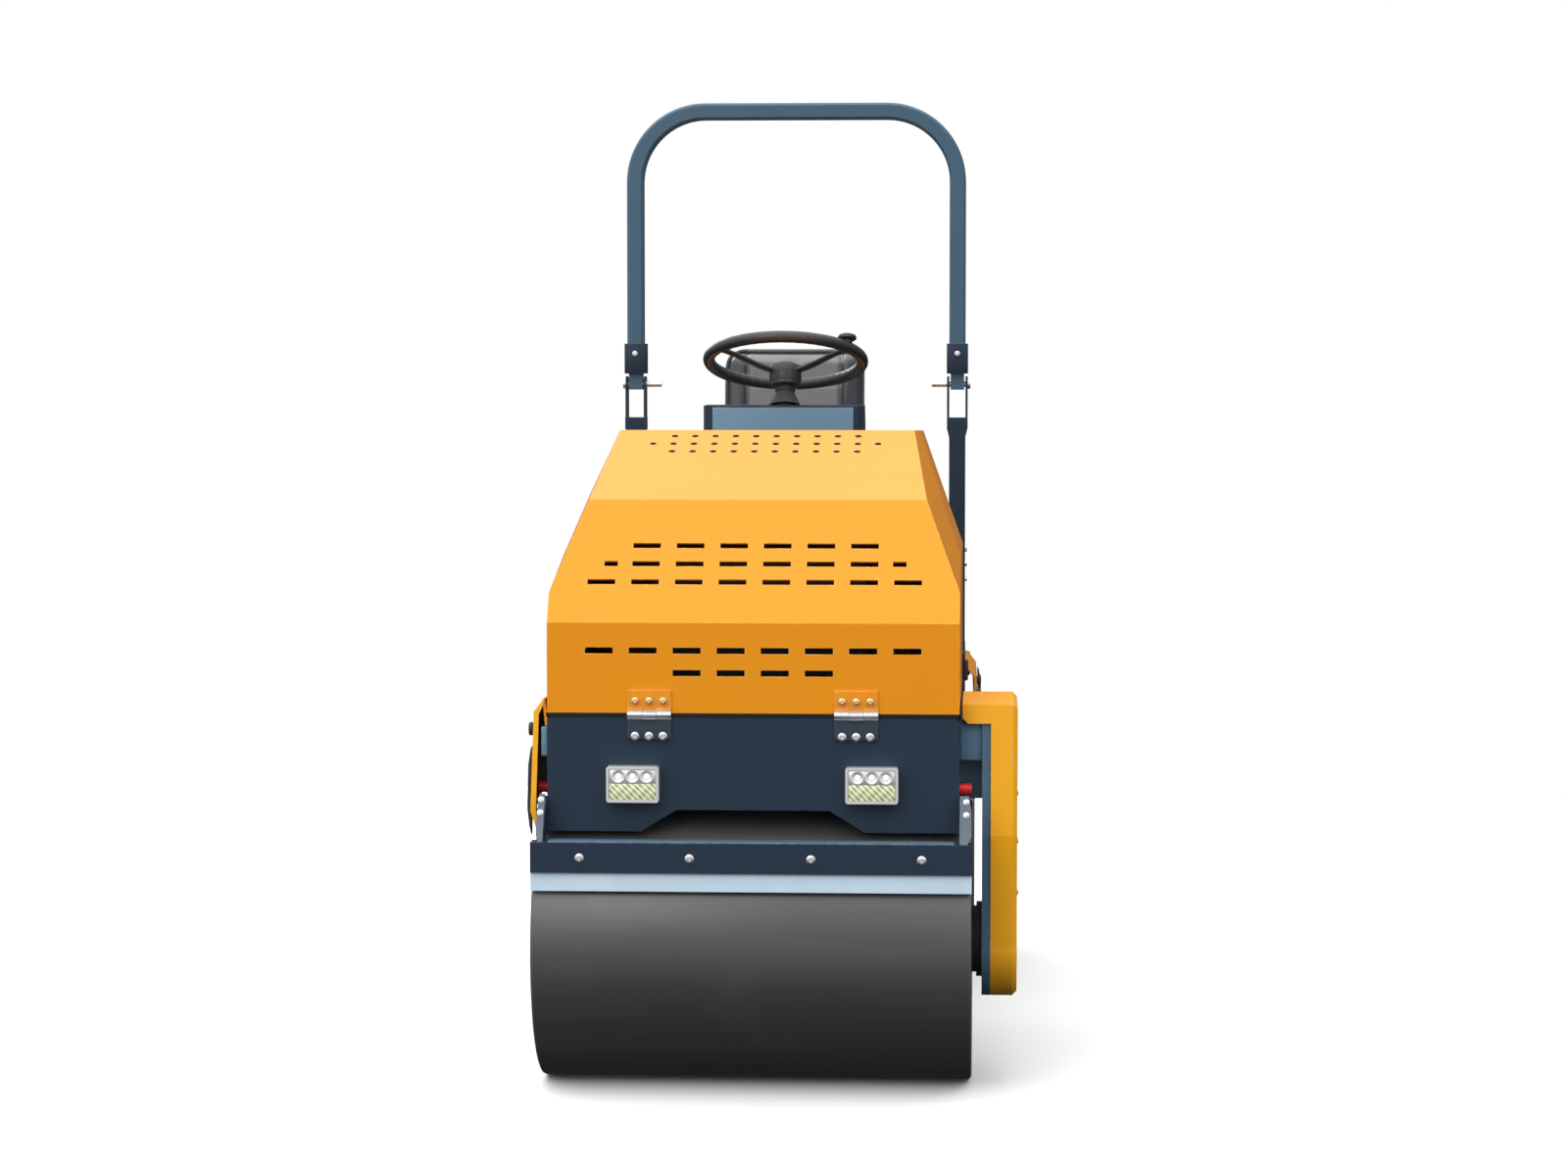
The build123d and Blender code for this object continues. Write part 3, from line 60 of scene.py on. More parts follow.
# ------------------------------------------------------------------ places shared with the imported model
AXLE_Y = 0.720
AXLE_Z = 0.260
FRAME_HALF = 0.377
RAIL_TOP = 0.694
HINGE_X = 0.189
HINGE_PITCH = 0.0256
HINGE_XS = (HINGE_X - HINGE_PITCH, HINGE_X, HINGE_X + HINGE_PITCH)
WHEEL_CENTRE = (0.0, 0.219, 1.337)
WHEEL_TILT = math.radians(18)
SEAT_X = -0.012
BACK_LEAN = math.radians(10)
BRACKET_FOOT = (0.3780, -0.9640, 0.4640)
BRACKET_LEAN = math.radians(32)
BRACKET_PLATE = 0.0030
BRACKET_WIDE = 0.0215              # outer half of a bracket
BRACKET_NARROW = 0.0130            # inner half of a bracket
BEAM_OVER_BLADE = 0.023            # beam's top over the blade's top
BEAM_SHEET = 0.006
HALF_TURN = Matrix.Rotation(math.pi, 4, "Z")
STILL = Matrix.Identity(4)
ENDS = (("front", STILL), ("rear", HALF_TURN))

AHEAD = Vector((0, -1, 0))
ASIDE = Vector((1, 0, 0))
UP = Vector((0, 0, 1))
SHARP_ANGLE = math.radians(38)
FULL_TURN = 2 * math.pi


# ------------------------------------------------------------------ shader expressions
def arithmetic(operation, swapped=False):
    """An operator's method, which adds the Math node that works it out."""
    def method(self, other):
        first, second = (other, self) if swapped else (self, other)
        return self.finish.node("ShaderNodeMath", {"operation": operation}, {0: first, 1: second})
    return method


class Value:
    """A shader socket that sums and products can be written with."""

    def __init__(self, finish, socket):
        self.finish = finish
        self.socket = socket

    __add__ = __radd__ = arithmetic("ADD")
    __sub__ = arithmetic("SUBTRACT")
    __rsub__ = arithmetic("SUBTRACT", swapped=True)
    __mul__ = __rmul__ = arithmetic("MULTIPLY")
    __truediv__ = arithmetic("DIVIDE")

    def __abs__(self):
        return self.finish.node("ShaderNodeMath", {"operation": "ABSOLUTE"}, {0: self})

    def clamped(self):
        return self.finish.node("ShaderNodeClamp", {}, {"Value": self})


class Finish:
    """A material under construction, with the few node patterns that its makers use."""

    def __init__(self, name):
        self.material = bpy.data.materials.new(name)
        self.material.use_nodes = True
        self.tree = self.material.node_tree
        self.tree.nodes.clear()
        self.output = self.tree.nodes.new("ShaderNodeOutputMaterial")
        self.place = self.node("ShaderNodeTexCoord", {}, {}, "Object")

    def node(self, kind, settings, sockets, result=0):
        """Adds a node: its settings first, then its sockets, and returns one output."""
        made = self.tree.nodes.new(kind)
        for name, value in settings.items():
            if name == "stops":
                self._set_stops(made.color_ramp, value)
            else:
                setattr(made, name, value)
        for name, value in sockets.items():
            socket = made.inputs[name]
            if isinstance(value, Value):
                self.tree.links.new(value.socket, socket)
            elif socket.type == "RGBA":
                socket.default_value = (*value, 1.0)
            else:
                socket.default_value = value
        return Value(self, made.outputs[result])

    @staticmethod
    def _set_stops(ramp, stops):
        while len(ramp.elements) < len(stops):
            ramp.elements.new(1.0)
        for element, (position, level) in zip(ramp.elements, stops):
            element.position = position
            element.color = (level, level, level, 1.0)

    def along(self, axis):
        """The object's coordinate along one axis."""
        return self.node("ShaderNodeSeparateXYZ", {}, {"Vector": self.place}, axis)

    def stretched(self, x, y, z):
        """The object's coordinates, scaled along each axis."""
        return self.node("ShaderNodeMapping", {}, {"Vector": self.place, "Scale": (x, y, z)})

    def noise(self, scale, detail=3.0, roughness=0.55, place=None):
        sockets = {"Vector": place or self.place, "Scale": scale, "Detail": detail, "Roughness": roughness}
        return self.node("ShaderNodeTexNoise", {}, sockets)

    def ramp(self, value, *stops):
        return self.node("ShaderNodeValToRGB", {"stops": stops}, {"Fac": value})

    def blend(self, factor, low, high):
        """Mixes two colours by a factor."""
        return self.node("ShaderNodeMix", {"data_type": "RGBA"}, {0: factor, 6: low, 7: high}, 2)

    def rounded(self, radius=0.002):
        """A normal that rounds sharp edges a little, so that they catch the light."""
        return self.node("ShaderNodeBevel", {"samples": 4}, {"Radius": radius}, "Normal")

    def edge(self, radius=0.004, sharpness=6.0):
        """0 on flat faces, rising to 1 on the edges that wear."""
        flat = self.node("ShaderNodeNewGeometry", {}, {}, "Normal")
        likeness = self.node("ShaderNodeVectorMath", {"operation": "DOT_PRODUCT"},
                             {0: self.rounded(radius), 1: flat}, "Value")
        return ((1.0 - likeness) * sharpness).clamped()

    def bump(self, height, strength, distance, rounding=None):
        """A normal that follows a height, on top of edges rounded by a radius."""
        sockets = {"Height": height, "Strength": strength, "Distance": distance}
        if rounding:
            sockets["Normal"] = self.rounded(rounding)
        return self.node("ShaderNodeBump", {}, sockets, "Normal")

    def surface(self, **sockets):
        """Ends the material in one Principled shader."""
        sockets = {name.replace("_", " "): value for name, value in sockets.items()}
        shader = self.node("ShaderNodeBsdfPrincipled", {}, sockets)
        self.tree.links.new(shader.socket, self.output.inputs["Surface"])
        return self.material


# ------------------------------------------------------------------ finishes
DUST = (0.42, 0.38, 0.32)
BARE_ZINC = (0.62, 0.63, 0.66)


def painted(name, colour, worn, roughness=0.36, coat=0.04, zinc_band=False, dust_height=0.45):
    """Sprayed paint: faint orange peel, paler edges, a film of dust that thickens towards the ground.

    A zinc band leaves the paint off along the rail's top, where the hinges turn.
    """
    f = Finish(name)
    mottle = f.noise(3.0, 4.0)
    edge = f.edge() * f.ramp(f.noise(60.0, 5.0), (0.42, 0.0), (0.62, 1.0))
    tone = f.blend(mottle * 0.35, colour, tuple(c * 0.86 for c in colour))
    tone = f.blend((edge * 0.55).clamped(), tone, worn)
    height = f.along("Z")
    low = f.ramp(height / dust_height, (0.25, 1.0), (1.0, 0.0))
    film = low * f.ramp(f.noise(9.0, 6.0), (0.35, 0.0), (0.75, 1.0)) * 0.05
    tone = f.blend(film, tone, DUST)
    peel = f.bump(f.noise(420.0, 2.0), 0.10, 0.0004, rounding=0.002)
    gloss = roughness + mottle * 0.10 + film * 1.2 + edge * 0.12
    if zinc_band:
        bare = f.ramp(abs(height - RAIL_TOP) * 50.0, (0.36, 1.0), (0.44, 0.0))
        return f.surface(Base_Color=f.blend(bare, tone, BARE_ZINC), Roughness=gloss, Metallic=bare * 0.9,
                         Normal=peel)
    return f.surface(Base_Color=tone, Roughness=gloss, Specular_IOR_Level=0.2, Coat_Weight=coat,
                     Coat_Roughness=0.22, Normal=peel)


def drum_face():
    """Rolled steel shell: dark scale, lengthwise polish bands and fine scratches round it."""
    f = Finish("drum_steel_worn")
    bands = f.noise(1.0, 5.0, 0.6, f.stretched(0.8, 9.0, 9.0))
    scratches = f.noise(1.0, 3.0, 0.7, f.stretched(160.0, 6.0, 6.0))
    blotch = f.noise(7.0, 6.0)
    tone = f.blend(f.ramp(bands, (0.35, 0.0), (0.7, 1.0)), (0.050, 0.050, 0.052), (0.072, 0.072, 0.074))
    tone = f.blend(f.ramp(blotch, (0.55, 0.0), (0.8, 0.35)), tone, (0.085, 0.082, 0.078))
    tone = f.blend(f.edge(0.005) * 0.6, tone, (0.32, 0.32, 0.33))
    gloss = 0.28 + scratches * 0.12 + blotch * 0.08
    return f.surface(Base_Color=tone, Specular_IOR_Level=0.7, Roughness=gloss,
                     Normal=f.bump(scratches, 0.12, 0.0005, rounding=0.003))


def bare_metal(name, colour, roughness, tint=(0.45, 0.40, 0.30)):
    """Zinc-plated or machined metal with faint clouding."""
    f = Finish(name)
    cloud = f.noise(38.0, 4.0)
    tone = f.blend(f.ramp(cloud, (0.5, 0.0), (0.8, 0.4)), colour, tint)
    return f.surface(Base_Color=tone, Metallic=0.92, Roughness=roughness + cloud * 0.14,
                     Normal=f.bump(f.noise(300.0, 2.0), 0.06, 0.0003, rounding=0.0008))


def moulded(name, colour, roughness=0.5, grain=700.0, strength=0.18, coat=0.0):
    """Moulded plastic or rubber with a fine even grain."""
    f = Finish(name)
    cloud = f.noise(14.0, 3.0)
    tone = f.blend(cloud * 0.4, colour, tuple(min(1.0, c * 1.5 + 0.01) for c in colour))
    tone = f.blend(f.edge(0.003) * 0.25, tone, tuple(c + 0.12 for c in colour))
    return f.surface(Base_Color=tone, Roughness=roughness + cloud * 0.1, Coat_Weight=coat,
                     Normal=f.bump(f.noise(grain, 2.0), strength, 0.0003, rounding=0.001))


def seat_vinyl():
    """Grained vinyl: dark bolsters and a paler middle, parted at the sewn channels."""
    f = Finish("vinyl_cover")
    cloud = f.noise(14.0, 3.0)
    middle = f.ramp(abs(f.along("X") - SEAT_X) * 5.0, (0.535, 1.0), (0.545, 0.0))
    tone = f.blend(middle, (0.040, 0.045, 0.055), (0.135, 0.132, 0.130))
    tone = f.blend(cloud * 0.3, tone, (0.10, 0.105, 0.115))
    return f.surface(Base_Color=tone, Roughness=0.34 + cloud * 0.12, Coat_Weight=0.2,
                     Normal=f.bump(f.noise(900.0, 2.0), 0.22, 0.0003))


def diode():
    """Pale phosphor under a clear dome."""
    f = Finish("lamp_diode")
    speckle = f.ramp(f.noise(400.0, 2.0), (0.4, 0.0), (0.6, 1.0))
    tone = f.blend(speckle, (0.95, 0.93, 0.80), (0.90, 0.86, 0.62))
    return f.surface(Base_Color=tone, Roughness=0.12, Coat_Weight=0.8, Emission_Color=tone,
                     Emission_Strength=0.6)


def cut_lens():
    """Yellowish-green prism pattern, in diamonds, under a clear face."""
    f = Finish("lamp_lens")
    across, up = f.along("X"), f.along("Z")
    one, two = (f.node("ShaderNodeMath", {"operation": "PINGPONG"}, {0: slant, 1: width})
                for slant, width in ((across + up, 0.0055), (across - up, 0.0110)))
    facet = one * 130.0 + two * 28.0
    tone = f.blend(f.ramp(facet, (0.20, 0.0), (0.75, 1.0)), (0.30, 0.34, 0.16), (0.93, 0.95, 0.62))
    return f.surface(Base_Color=tone, Roughness=0.16, Coat_Weight=0.7, Normal=f.bump(facet, 0.5, 0.002))


def dial_face():
    """Dark clouded dial under glass, with no marks."""
    f = Finish("dial_face")
    tone = f.blend(f.noise(60.0, 3.0), (0.010, 0.011, 0.012), (0.045, 0.048, 0.052))
    return f.surface(Base_Color=tone, Roughness=0.08, Coat_Weight=0.6)


FINISHES = {}


def make_finishes(look):
    """Fills the table of finishes from the look's colours."""
    yellow, lit_yellow, slate = tuple(look.yellow), tuple(look.lit_yellow), tuple(look.slate)

    def pale(*shares):
        return tuple(c * share for c, share in zip(look.pale_slate, shares))

    yellow_worn, slate_worn = (0.98, 0.72, 0.30), (0.10, 0.13, 0.16)
    FINISHES.update({
        "yellow": painted("yellow_paint", yellow, yellow_worn, 0.28, 0.15),
        # painted light: a paler copy of the body yellow, standing in for the light on the arm covers' fronts
        # and the side covers' rims; their real paint is the hood's
        "lit_yellow": painted("lit_yellow_paint", lit_yellow, (1.0, 0.78, 0.36), 0.30, 0.15),
        "slate": painted("slate_paint", slate, slate_worn, 0.36, 0.0),
        "tube_slate": painted("tube_slate_paint", pale(1.15, 1.35, 1.42), (0.22, 0.28, 0.33), 0.26, 0.30),
        "arm_slate": painted("arm_slate_paint", pale(1.8, 1.8, 1.8), (0.32, 0.38, 0.42), 0.34),
        # painted light: the pale slate made much paler, for faces that stand lit, the spacers by the side
        # covers and the console's front
        "lit_slate": painted("lit_slate_paint", pale(2.6, 2.6, 2.6), (0.40, 0.46, 0.50), 0.34),
        "hinge_yellow": painted("hinge_yellow_paint", yellow, yellow_worn, 0.33, zinc_band=True),
        "hinge_slate": painted("hinge_slate_paint", slate, slate_worn, 0.42, zinc_band=True),
        "red": painted("red_paint", (1.0, 0.022, 0.040), (0.90, 0.20, 0.16), 0.32, 0.3),
        "machinery": painted("machinery_paint", (0.055, 0.060, 0.065), (0.25, 0.25, 0.25), 0.5, 0.0),
        "drum": drum_face(),
        "zinc": bare_metal("zinc_plate", (0.74, 0.76, 0.79), 0.30),
        "dull_zinc": bare_metal("dull_zinc_plate", (0.11, 0.13, 0.16), 0.50, (0.10, 0.10, 0.10)),
        # yellow-plated zinc, its yellow tint partly a painted reflection of the yellow paint beside the bolts
        "yellow_reflecting_zinc": bare_metal("yellow_reflecting_zinc_plate", (0.85, 0.66, 0.36), 0.30, (0.80, 0.55, 0.25)),
        "chrome": bare_metal("polished_rod", (0.75, 0.76, 0.78), 0.12, (0.70, 0.71, 0.73)),
        "blade": moulded("blade_polyurethane", (0.52, 0.66, 0.82), 0.42, 240.0, 0.10),
        # near black: painted shade, for the shadow line under the hood's edge and the shade inside the hood's
        # holes
        "shade_black": moulded("shade_black_rubber", (0.002, 0.002, 0.002), 0.85, 300.0, 0.10),
        "rubber": moulded("black_rubber", (0.016, 0.016, 0.017), 0.62),
        "plastic": moulded("black_plastic", (0.020, 0.020, 0.022), 0.38, 500.0, 0.10, 0.15),
        "lamp_metal": bare_metal("lamp_casting", (0.80, 0.80, 0.79), 0.42, (0.66, 0.66, 0.64)),
        "mirror": bare_metal("lamp_reflector", (0.88, 0.88, 0.90), 0.34, (0.80, 0.79, 0.81)),
        "diode": diode(),
        "lens": cut_lens(),
        "dial": dial_face(),
        "vinyl": seat_vinyl(),
    })


# the finish that each of the record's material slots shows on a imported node
SLOT_FINISH = {
    "body_yellow": "yellow",
    "frame_slate": "slate",
    "drum_steel": "drum",
    "bright_steel": "zinc",
    "machinery_grey": "machinery",
    "blade_plastic": "blade",
    "pin_red": "red",
    "rubber_black": "rubber",
    "seat_vinyl": "rubber",
    "lamp_body": "lamp_metal",
}
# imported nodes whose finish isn't their slot's
NODE_FINISH = {
    "cylinder_rod": "chrome",
    "hood_hinges": "hinge_yellow",
    "plate_hinges": "hinge_slate",
    "hoop": "tube_slate",
    "front_arm": "arm_slate",
    "rear_arm": "arm_slate",
    # the arm covers take the paler yellow, painted light on their fronts
    "front_arm_cover": "lit_yellow",
    "rear_arm_cover": "lit_yellow",
}


# ------------------------------------------------------------------ mesh helpers
def as_mesh(bm, name):
    """Turns a bmesh into a mesh whose faces point outwards."""
    mesh = bpy.data.meshes.new(name)
    bmesh.ops.recalc_face_normals(bm, faces=bm.faces)
    bm.to_mesh(mesh)
    bm.free()
    return mesh


def shaded(mesh):
    """Smooths a mesh's shading, apart from its sharp edges."""
    mesh.shade_smooth()
    mesh.set_sharp_from_angle(angle=SHARP_ANGLE)
    return mesh


def new_piece(name, mesh_data, body, look, replaced=None):
    """Turns mesh data (a bmesh or a mesh) into a piece of a finish that rides on a body."""
    if isinstance(mesh_data, bmesh.types.BMesh):
        mesh = as_mesh(mesh_data, name)
    else:
        mesh = mesh_data
        mesh.name = name
    mesh.materials.clear()
    mesh.materials.append(FINISHES[look])
    piece = bpy.data.objects.new(name, shaded(mesh))
    bpy.context.scene.collection.objects.link(piece)
    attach(piece, body)
    if replaced:
        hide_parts(replaced)
    return piece


def new_ring(bm, place, points):
    """Vertices at a list of points of a place's own frame."""
    return [bm.verts.new(place @ Vector(point)) for point in points]


def round_ring(bm, place, radius, height, segments):
    """A circle of vertices about the place's Z axis, or a single one where the radius is nothing."""
    if not radius:
        return new_ring(bm, place, [(0, 0, height)])
    angles = [FULL_TURN * i / segments for i in range(segments)]
    return new_ring(bm, place, [(radius * math.cos(a), radius * math.sin(a), height) for a in angles])


def join_rings(bm, low, high):
    """Faces between two closed rings, either of which may be a single point."""
    count = max(len(low), len(high))
    for i in range(count):
        j = (i + 1) % count
        corners = [low[i % len(low)], low[j % len(low)], high[j % len(high)], high[i % len(high)]]
        kept = [v for k, v in enumerate(corners) if v not in corners[:k]]
        if len(kept) > 2:
            bm.faces.new(kept)


def loft(bm, rings, capped=False):
    """Joins each ring to the next, and closes the two ends where asked."""
    for low, high in zip(rings, rings[1:]):
        join_rings(bm, low, high)
    if capped:
        bm.faces.new(rings[0][::-1])
        bm.faces.new(rings[-1])


def lathe(bm, profile, place=STILL, segments=64):
    """Solid of revolution about the place's Z axis, from points of (radius, height)."""
    loft(bm, [round_ring(bm, place, radius, height, segments) for radius, height in profile])


def slab(bm, low, high, bevel=0.0, place=None, segments=2):
    """Box between two corners, with rounded edges, put in place by a matrix."""
    size = [b - a for a, b in zip(low, high)]
    middle = [(a + b) / 2 for a, b in zip(low, high)]
    spot = Matrix.Translation(middle) @ Matrix.Diagonal((*size, 1.0))
    made = bmesh.ops.create_cube(bm, size=1.0, matrix=spot)
    if bevel:
        edges = list(dict.fromkeys(e for v in made["verts"] for e in v.link_edges))
        made = bmesh.ops.bevel(bm, geom=edges, offset=bevel, segments=segments, affect="EDGES", profile=0.5)
    if place is not None:
        verts = {v for f in made.get("faces", []) for v in f.verts} | set(made["verts"])
        bmesh.ops.transform(bm, matrix=place, verts=list(verts))


def plate(bm, outline, thickness, place):
    """Flat plate from an outline of (across, along), its back on the place's own XZ plane."""
    back, face = (new_ring(bm, place, [(x, y, z) for x, z in outline]) for y in (0.0, -thickness))
    join_rings(bm, back, face)
    bm.faces.new(back)
    bm.faces.new(face[::-1])


def ring_tube(bm, points, radius, sides=8):
    """Closed round tube along a loop of points."""
    rings = []
    across = None
    for i, point in enumerate(points):
        run = (Vector(points[(i + 1) % len(points)]) - Vector(points[i - 1])).normalized()
        if across is None:
            across = run.orthogonal().normalized()
        across = (across - across.dot(run) * run).normalized()
        side = run.cross(across)
        angles = [FULL_TURN * k / sides for k in range(sides)]
        rings.append([bm.verts.new(Vector(point) + radius * (math.cos(a) * across + math.sin(a) * side))
                      for a in angles])
    loft(bm, rings)
    last, first = rings[-1], rings[0]
    shift = min(range(sides), key=lambda k: (first[k].co - last[0].co).length)
    join_rings(bm, last, first[shift:] + first[:shift])


def rounded_outline(x0, x1, y0, y1, radius, steps=6):
    """Closed rectangle outline with round corners."""
    points = []
    for cx, cy, start in ((x1 - radius, y1 - radius, 0), (x0 + radius, y1 - radius, 90),
                          (x0 + radius, y0 + radius, 180), (x1 - radius, y0 + radius, 270)):
        for k in range(steps + 1):
            angle = math.radians(start + 90 * k / steps)
            points.append((cx + radius * math.cos(angle), cy + radius * math.sin(angle)))
    return points


def aimed(place, direction):
    """Matrix that puts Z along a direction at a place."""
    return Matrix.Translation(place) @ Vector(direction).to_track_quat("Z", "Y").to_matrix().to_4x4()


def mirrored(points):
    """The points and their mirror images across the machine's middle plane."""
    return points + [((-p[0], p[1], p[2]), (-n[0], n[1], n[2]), s) for p, n, s in points]


def turned(points, turn):
    """The same points after an end's turn."""
    return [(turn @ Vector(p), turn @ Vector(n), s) for p, n, s in points]


# ------------------------------------------------------------------ what repeats
def scatter_tree():
    """Geometry nodes that put an item on every point, facing the point's 'facing' vector."""
    tree = bpy.data.node_groups.new("items_on_points", "GeometryNodeTree")
    for name, kind in (("Geometry", "Geometry"), ("Item", "Object"), ("Turn", "Float"), ("Seed", "Int"),
                       ("Finish", "Material")):
        tree.interface.new_socket(name, in_out="INPUT", socket_type=f"NodeSocket{kind}")
    tree.interface.new_socket("Geometry", in_out="OUTPUT", socket_type="NodeSocketGeometry")

    def node(kind, links=(), **settings):
        made = tree.nodes.new(kind)
        for name, value in settings.items():
            setattr(made, name, value)
        for target, source in links:
            tree.links.new(source, made.inputs[target])
        return made

    def attribute(name, data_type):
        made = node("GeometryNodeInputNamedAttribute", data_type=data_type)
        made.inputs["Name"].default_value = name
        return made.outputs["Attribute"]

    given = node("NodeGroupInput").outputs
    item = node("GeometryNodeObjectInfo", [("Object", given["Item"])])
    spin = node("FunctionNodeRandomValue", [("Seed", given["Seed"])], data_type="FLOAT")
    tree.links.new(given["Turn"], spin.inputs[3])
    facing = attribute("facing", "FLOAT_VECTOR")
    aim = node("FunctionNodeAlignRotationToVector", [("Vector", facing)], axis="Z")
    about = node("FunctionNodeAxisAngleToRotation", [("Angle", spin.outputs[1])])
    about.inputs["Axis"].default_value = UP
    both = node("FunctionNodeRotateRotation",
                [("Rotation", aim.outputs["Rotation"]), ("Rotate By", about.outputs["Rotation"])],
                rotation_space="LOCAL")
    copies = node("GeometryNodeInstanceOnPoints",
                  [("Points", given["Geometry"]), ("Instance", item.outputs["Geometry"]),
                   ("Rotation", both.outputs["Rotation"]), ("Scale", attribute("size", "FLOAT"))])
    real = node("GeometryNodeRealizeInstances", [("Geometry", copies.outputs["Instances"])])
    finished = node("GeometryNodeSetMaterial",
                    [("Geometry", real.outputs["Geometry"]), ("Material", given["Finish"])])
    node("NodeGroupOutput", [("Geometry", finished.outputs["Geometry"])])
    return tree


def scattered(name, item, points, body, look, turn, seed):
    """Puts a copy of an item mesh at each (place, facing, size) and makes them one piece of a body."""
    tree = bpy.data.node_groups.get("items_on_points") or scatter_tree()
    template = bpy.data.objects.new(f"{name}_item", item)
    mesh = bpy.data.meshes.new(f"{name}_points")
    mesh.from_pydata([tuple(p[0]) for p in points], [], [])
    facing = mesh.attributes.new("facing", "FLOAT_VECTOR", "POINT")
    facing.data.foreach_set("vector", [c for _, direction, _ in points for c in direction])
    size = mesh.attributes.new("size", "FLOAT", "POINT")
    size.data.foreach_set("value", [scale for _, _, scale in points])
    holder = bpy.data.objects.new(f"{name}_points", mesh)
    bpy.context.scene.collection.objects.link(holder)
    modifier = holder.modifiers.new("items", "NODES")
    modifier.node_group = tree
    values = {"Item": template, "Turn": turn, "Seed": seed, "Finish": FINISHES[look]}
    for socket in tree.interface.items_tree:
        if socket.in_out == "INPUT" and socket.name in values:
            modifier[socket.identifier] = values[socket.name]
    made = applied(holder)
    bpy.data.objects.remove(holder)
    bpy.data.objects.remove(template)
    if not made.polygons:
        raise RuntimeError(f"{name}: the geometry nodes made nothing")
    for attribute in ("facing", "size"):
        if made.attributes.get(attribute):
            made.attributes.remove(made.attributes[attribute])
    return new_piece(name, made, body, look)


def applied(thing):
    """The mesh that an object's modifiers make of it, which are then removed."""
    graph = bpy.context.evaluated_depsgraph_get()
    mesh = bpy.data.meshes.new_from_object(thing.evaluated_get(graph))
    thing.modifiers.clear()
    return mesh


def hex_bolt():
    """Washer, hexagon head with a turned top, and the stub of its thread, one unit in head radius."""
    bm = bmesh.new()
    lathe(bm, [(0, 0), (1.32, 0), (1.38, 0.06), (1.38, 0.20), (1.30, 0.26), (0, 0.26)], segments=28)
    head = ((1.0, 0.26), (1.0, 0.84), (0.90, 0.96))
    loft(bm, [round_ring(bm, STILL, radius, height, 6) for radius, height in head], capped=True)
    lathe(bm, [(0.78, 0.96), (0.78, 1.0), (0.60, 1.02), (0.56, 0.97), (0, 0.97)], segments=24)
    return shaded(as_mesh(bm, "hex_bolt"))


def dome_bolt():
    """Low round head with a socket, one unit in head radius."""
    bm = bmesh.new()
    lathe(bm, [(0, 0), (1.0, 0), (1.0, 0.10), (0.92, 0.30), (0.70, 0.46), (0.42, 0.52), (0.36, 0.52),
               (0.33, 0.30), (0, 0.30)], segments=24)
    return shaded(as_mesh(bm, "dome_bolt"))


def tread_bar():
    """One raised bar of a checker plate, with its ends drawn out."""
    bm = bmesh.new()
    outline = [(-1.0, 0.0), (-0.55, -0.20), (0.0, -0.26), (0.55, -0.20), (1.0, 0.0), (0.55, 0.20),
               (0.0, 0.26), (-0.55, 0.20)]
    low = new_ring(bm, STILL, [(x, y, 0.0) for x, y in outline])
    high = new_ring(bm, STILL, [(x * 0.82, y * 0.62, 0.14) for x, y in outline])
    join_rings(bm, low, high)
    bm.faces.new(high)
    return shaded(as_mesh(bm, "tread_bar"))


def hole_shade_plug():
    """Shallow black plug of painted shade that closes a hole, its face at the place's own height, one unit in
    hole radius.
    """
    bm = bmesh.new()
    lathe(bm, [(0, -0.12), (0.97, -0.12), (0.97, -0.01), (0.90, 0.0), (0, 0.0)], segments=16)
    return shaded(as_mesh(bm, "hole_shade_disc"))


# ------------------------------------------------------------------ settings
class RollerLook(bpy.types.PropertyGroup):
    """Colours of the machine."""

    yellow: FloatVectorProperty(
        name="Body yellow", description="Colour of hood, side covers and seat housing",
        subtype="COLOR", size=3, min=0.0, max=1.0, default=(0.82, 0.29, 0.001))
    # a paler copy of the body yellow that paints the light on the arm covers and the side covers' rims
    lit_yellow: FloatVectorProperty(
        name="Cover yellow", description="Colour of the arm covers and the side covers' rims",
        subtype="COLOR", size=3, min=0.0, max=1.0, default=(1.0, 0.46, 0.015))
    slate: FloatVectorProperty(
        name="Frame slate", description="Colour of chassis and console",
        subtype="COLOR", size=3, min=0.0, max=1.0, default=(0.018, 0.034, 0.058))
    # its paler copies among the finishes also paint light on the spacers and the console's front
    pale_slate: FloatVectorProperty(
        name="Pale slate", description="Colour of hoop, arms and console cover, paler than the frame",
        subtype="COLOR", size=3, min=0.0, max=1.0, default=(0.045, 0.085, 0.125))


class RollerFittings(bpy.types.PropertyGroup):
    """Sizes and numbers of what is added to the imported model."""

    bolt_head: FloatProperty(
        name="Bolt head", description="Radius of the larger bolt heads", unit="LENGTH", default=0.0075)
    grips: IntProperty(
        name="Finger grips", description="Finger hollows round the steering wheel", default=44, min=0)
    swell_pressure: FloatProperty(
        name="Padding pressure", description="Pressure that swells the seat pads", default=4.0, min=0.0)
    swell_cap: FloatProperty(
        name="Padding cap", description="How far a point of a pad may move", unit="LENGTH", default=0.012)
    tread_pitch: FloatProperty(
        name="Tread pitch", description="Spacing of the footplate's raised bars", unit="LENGTH", default=0.024)
    seed: IntProperty(name="Seed", description="Seed of the bolts' turns", default=7)


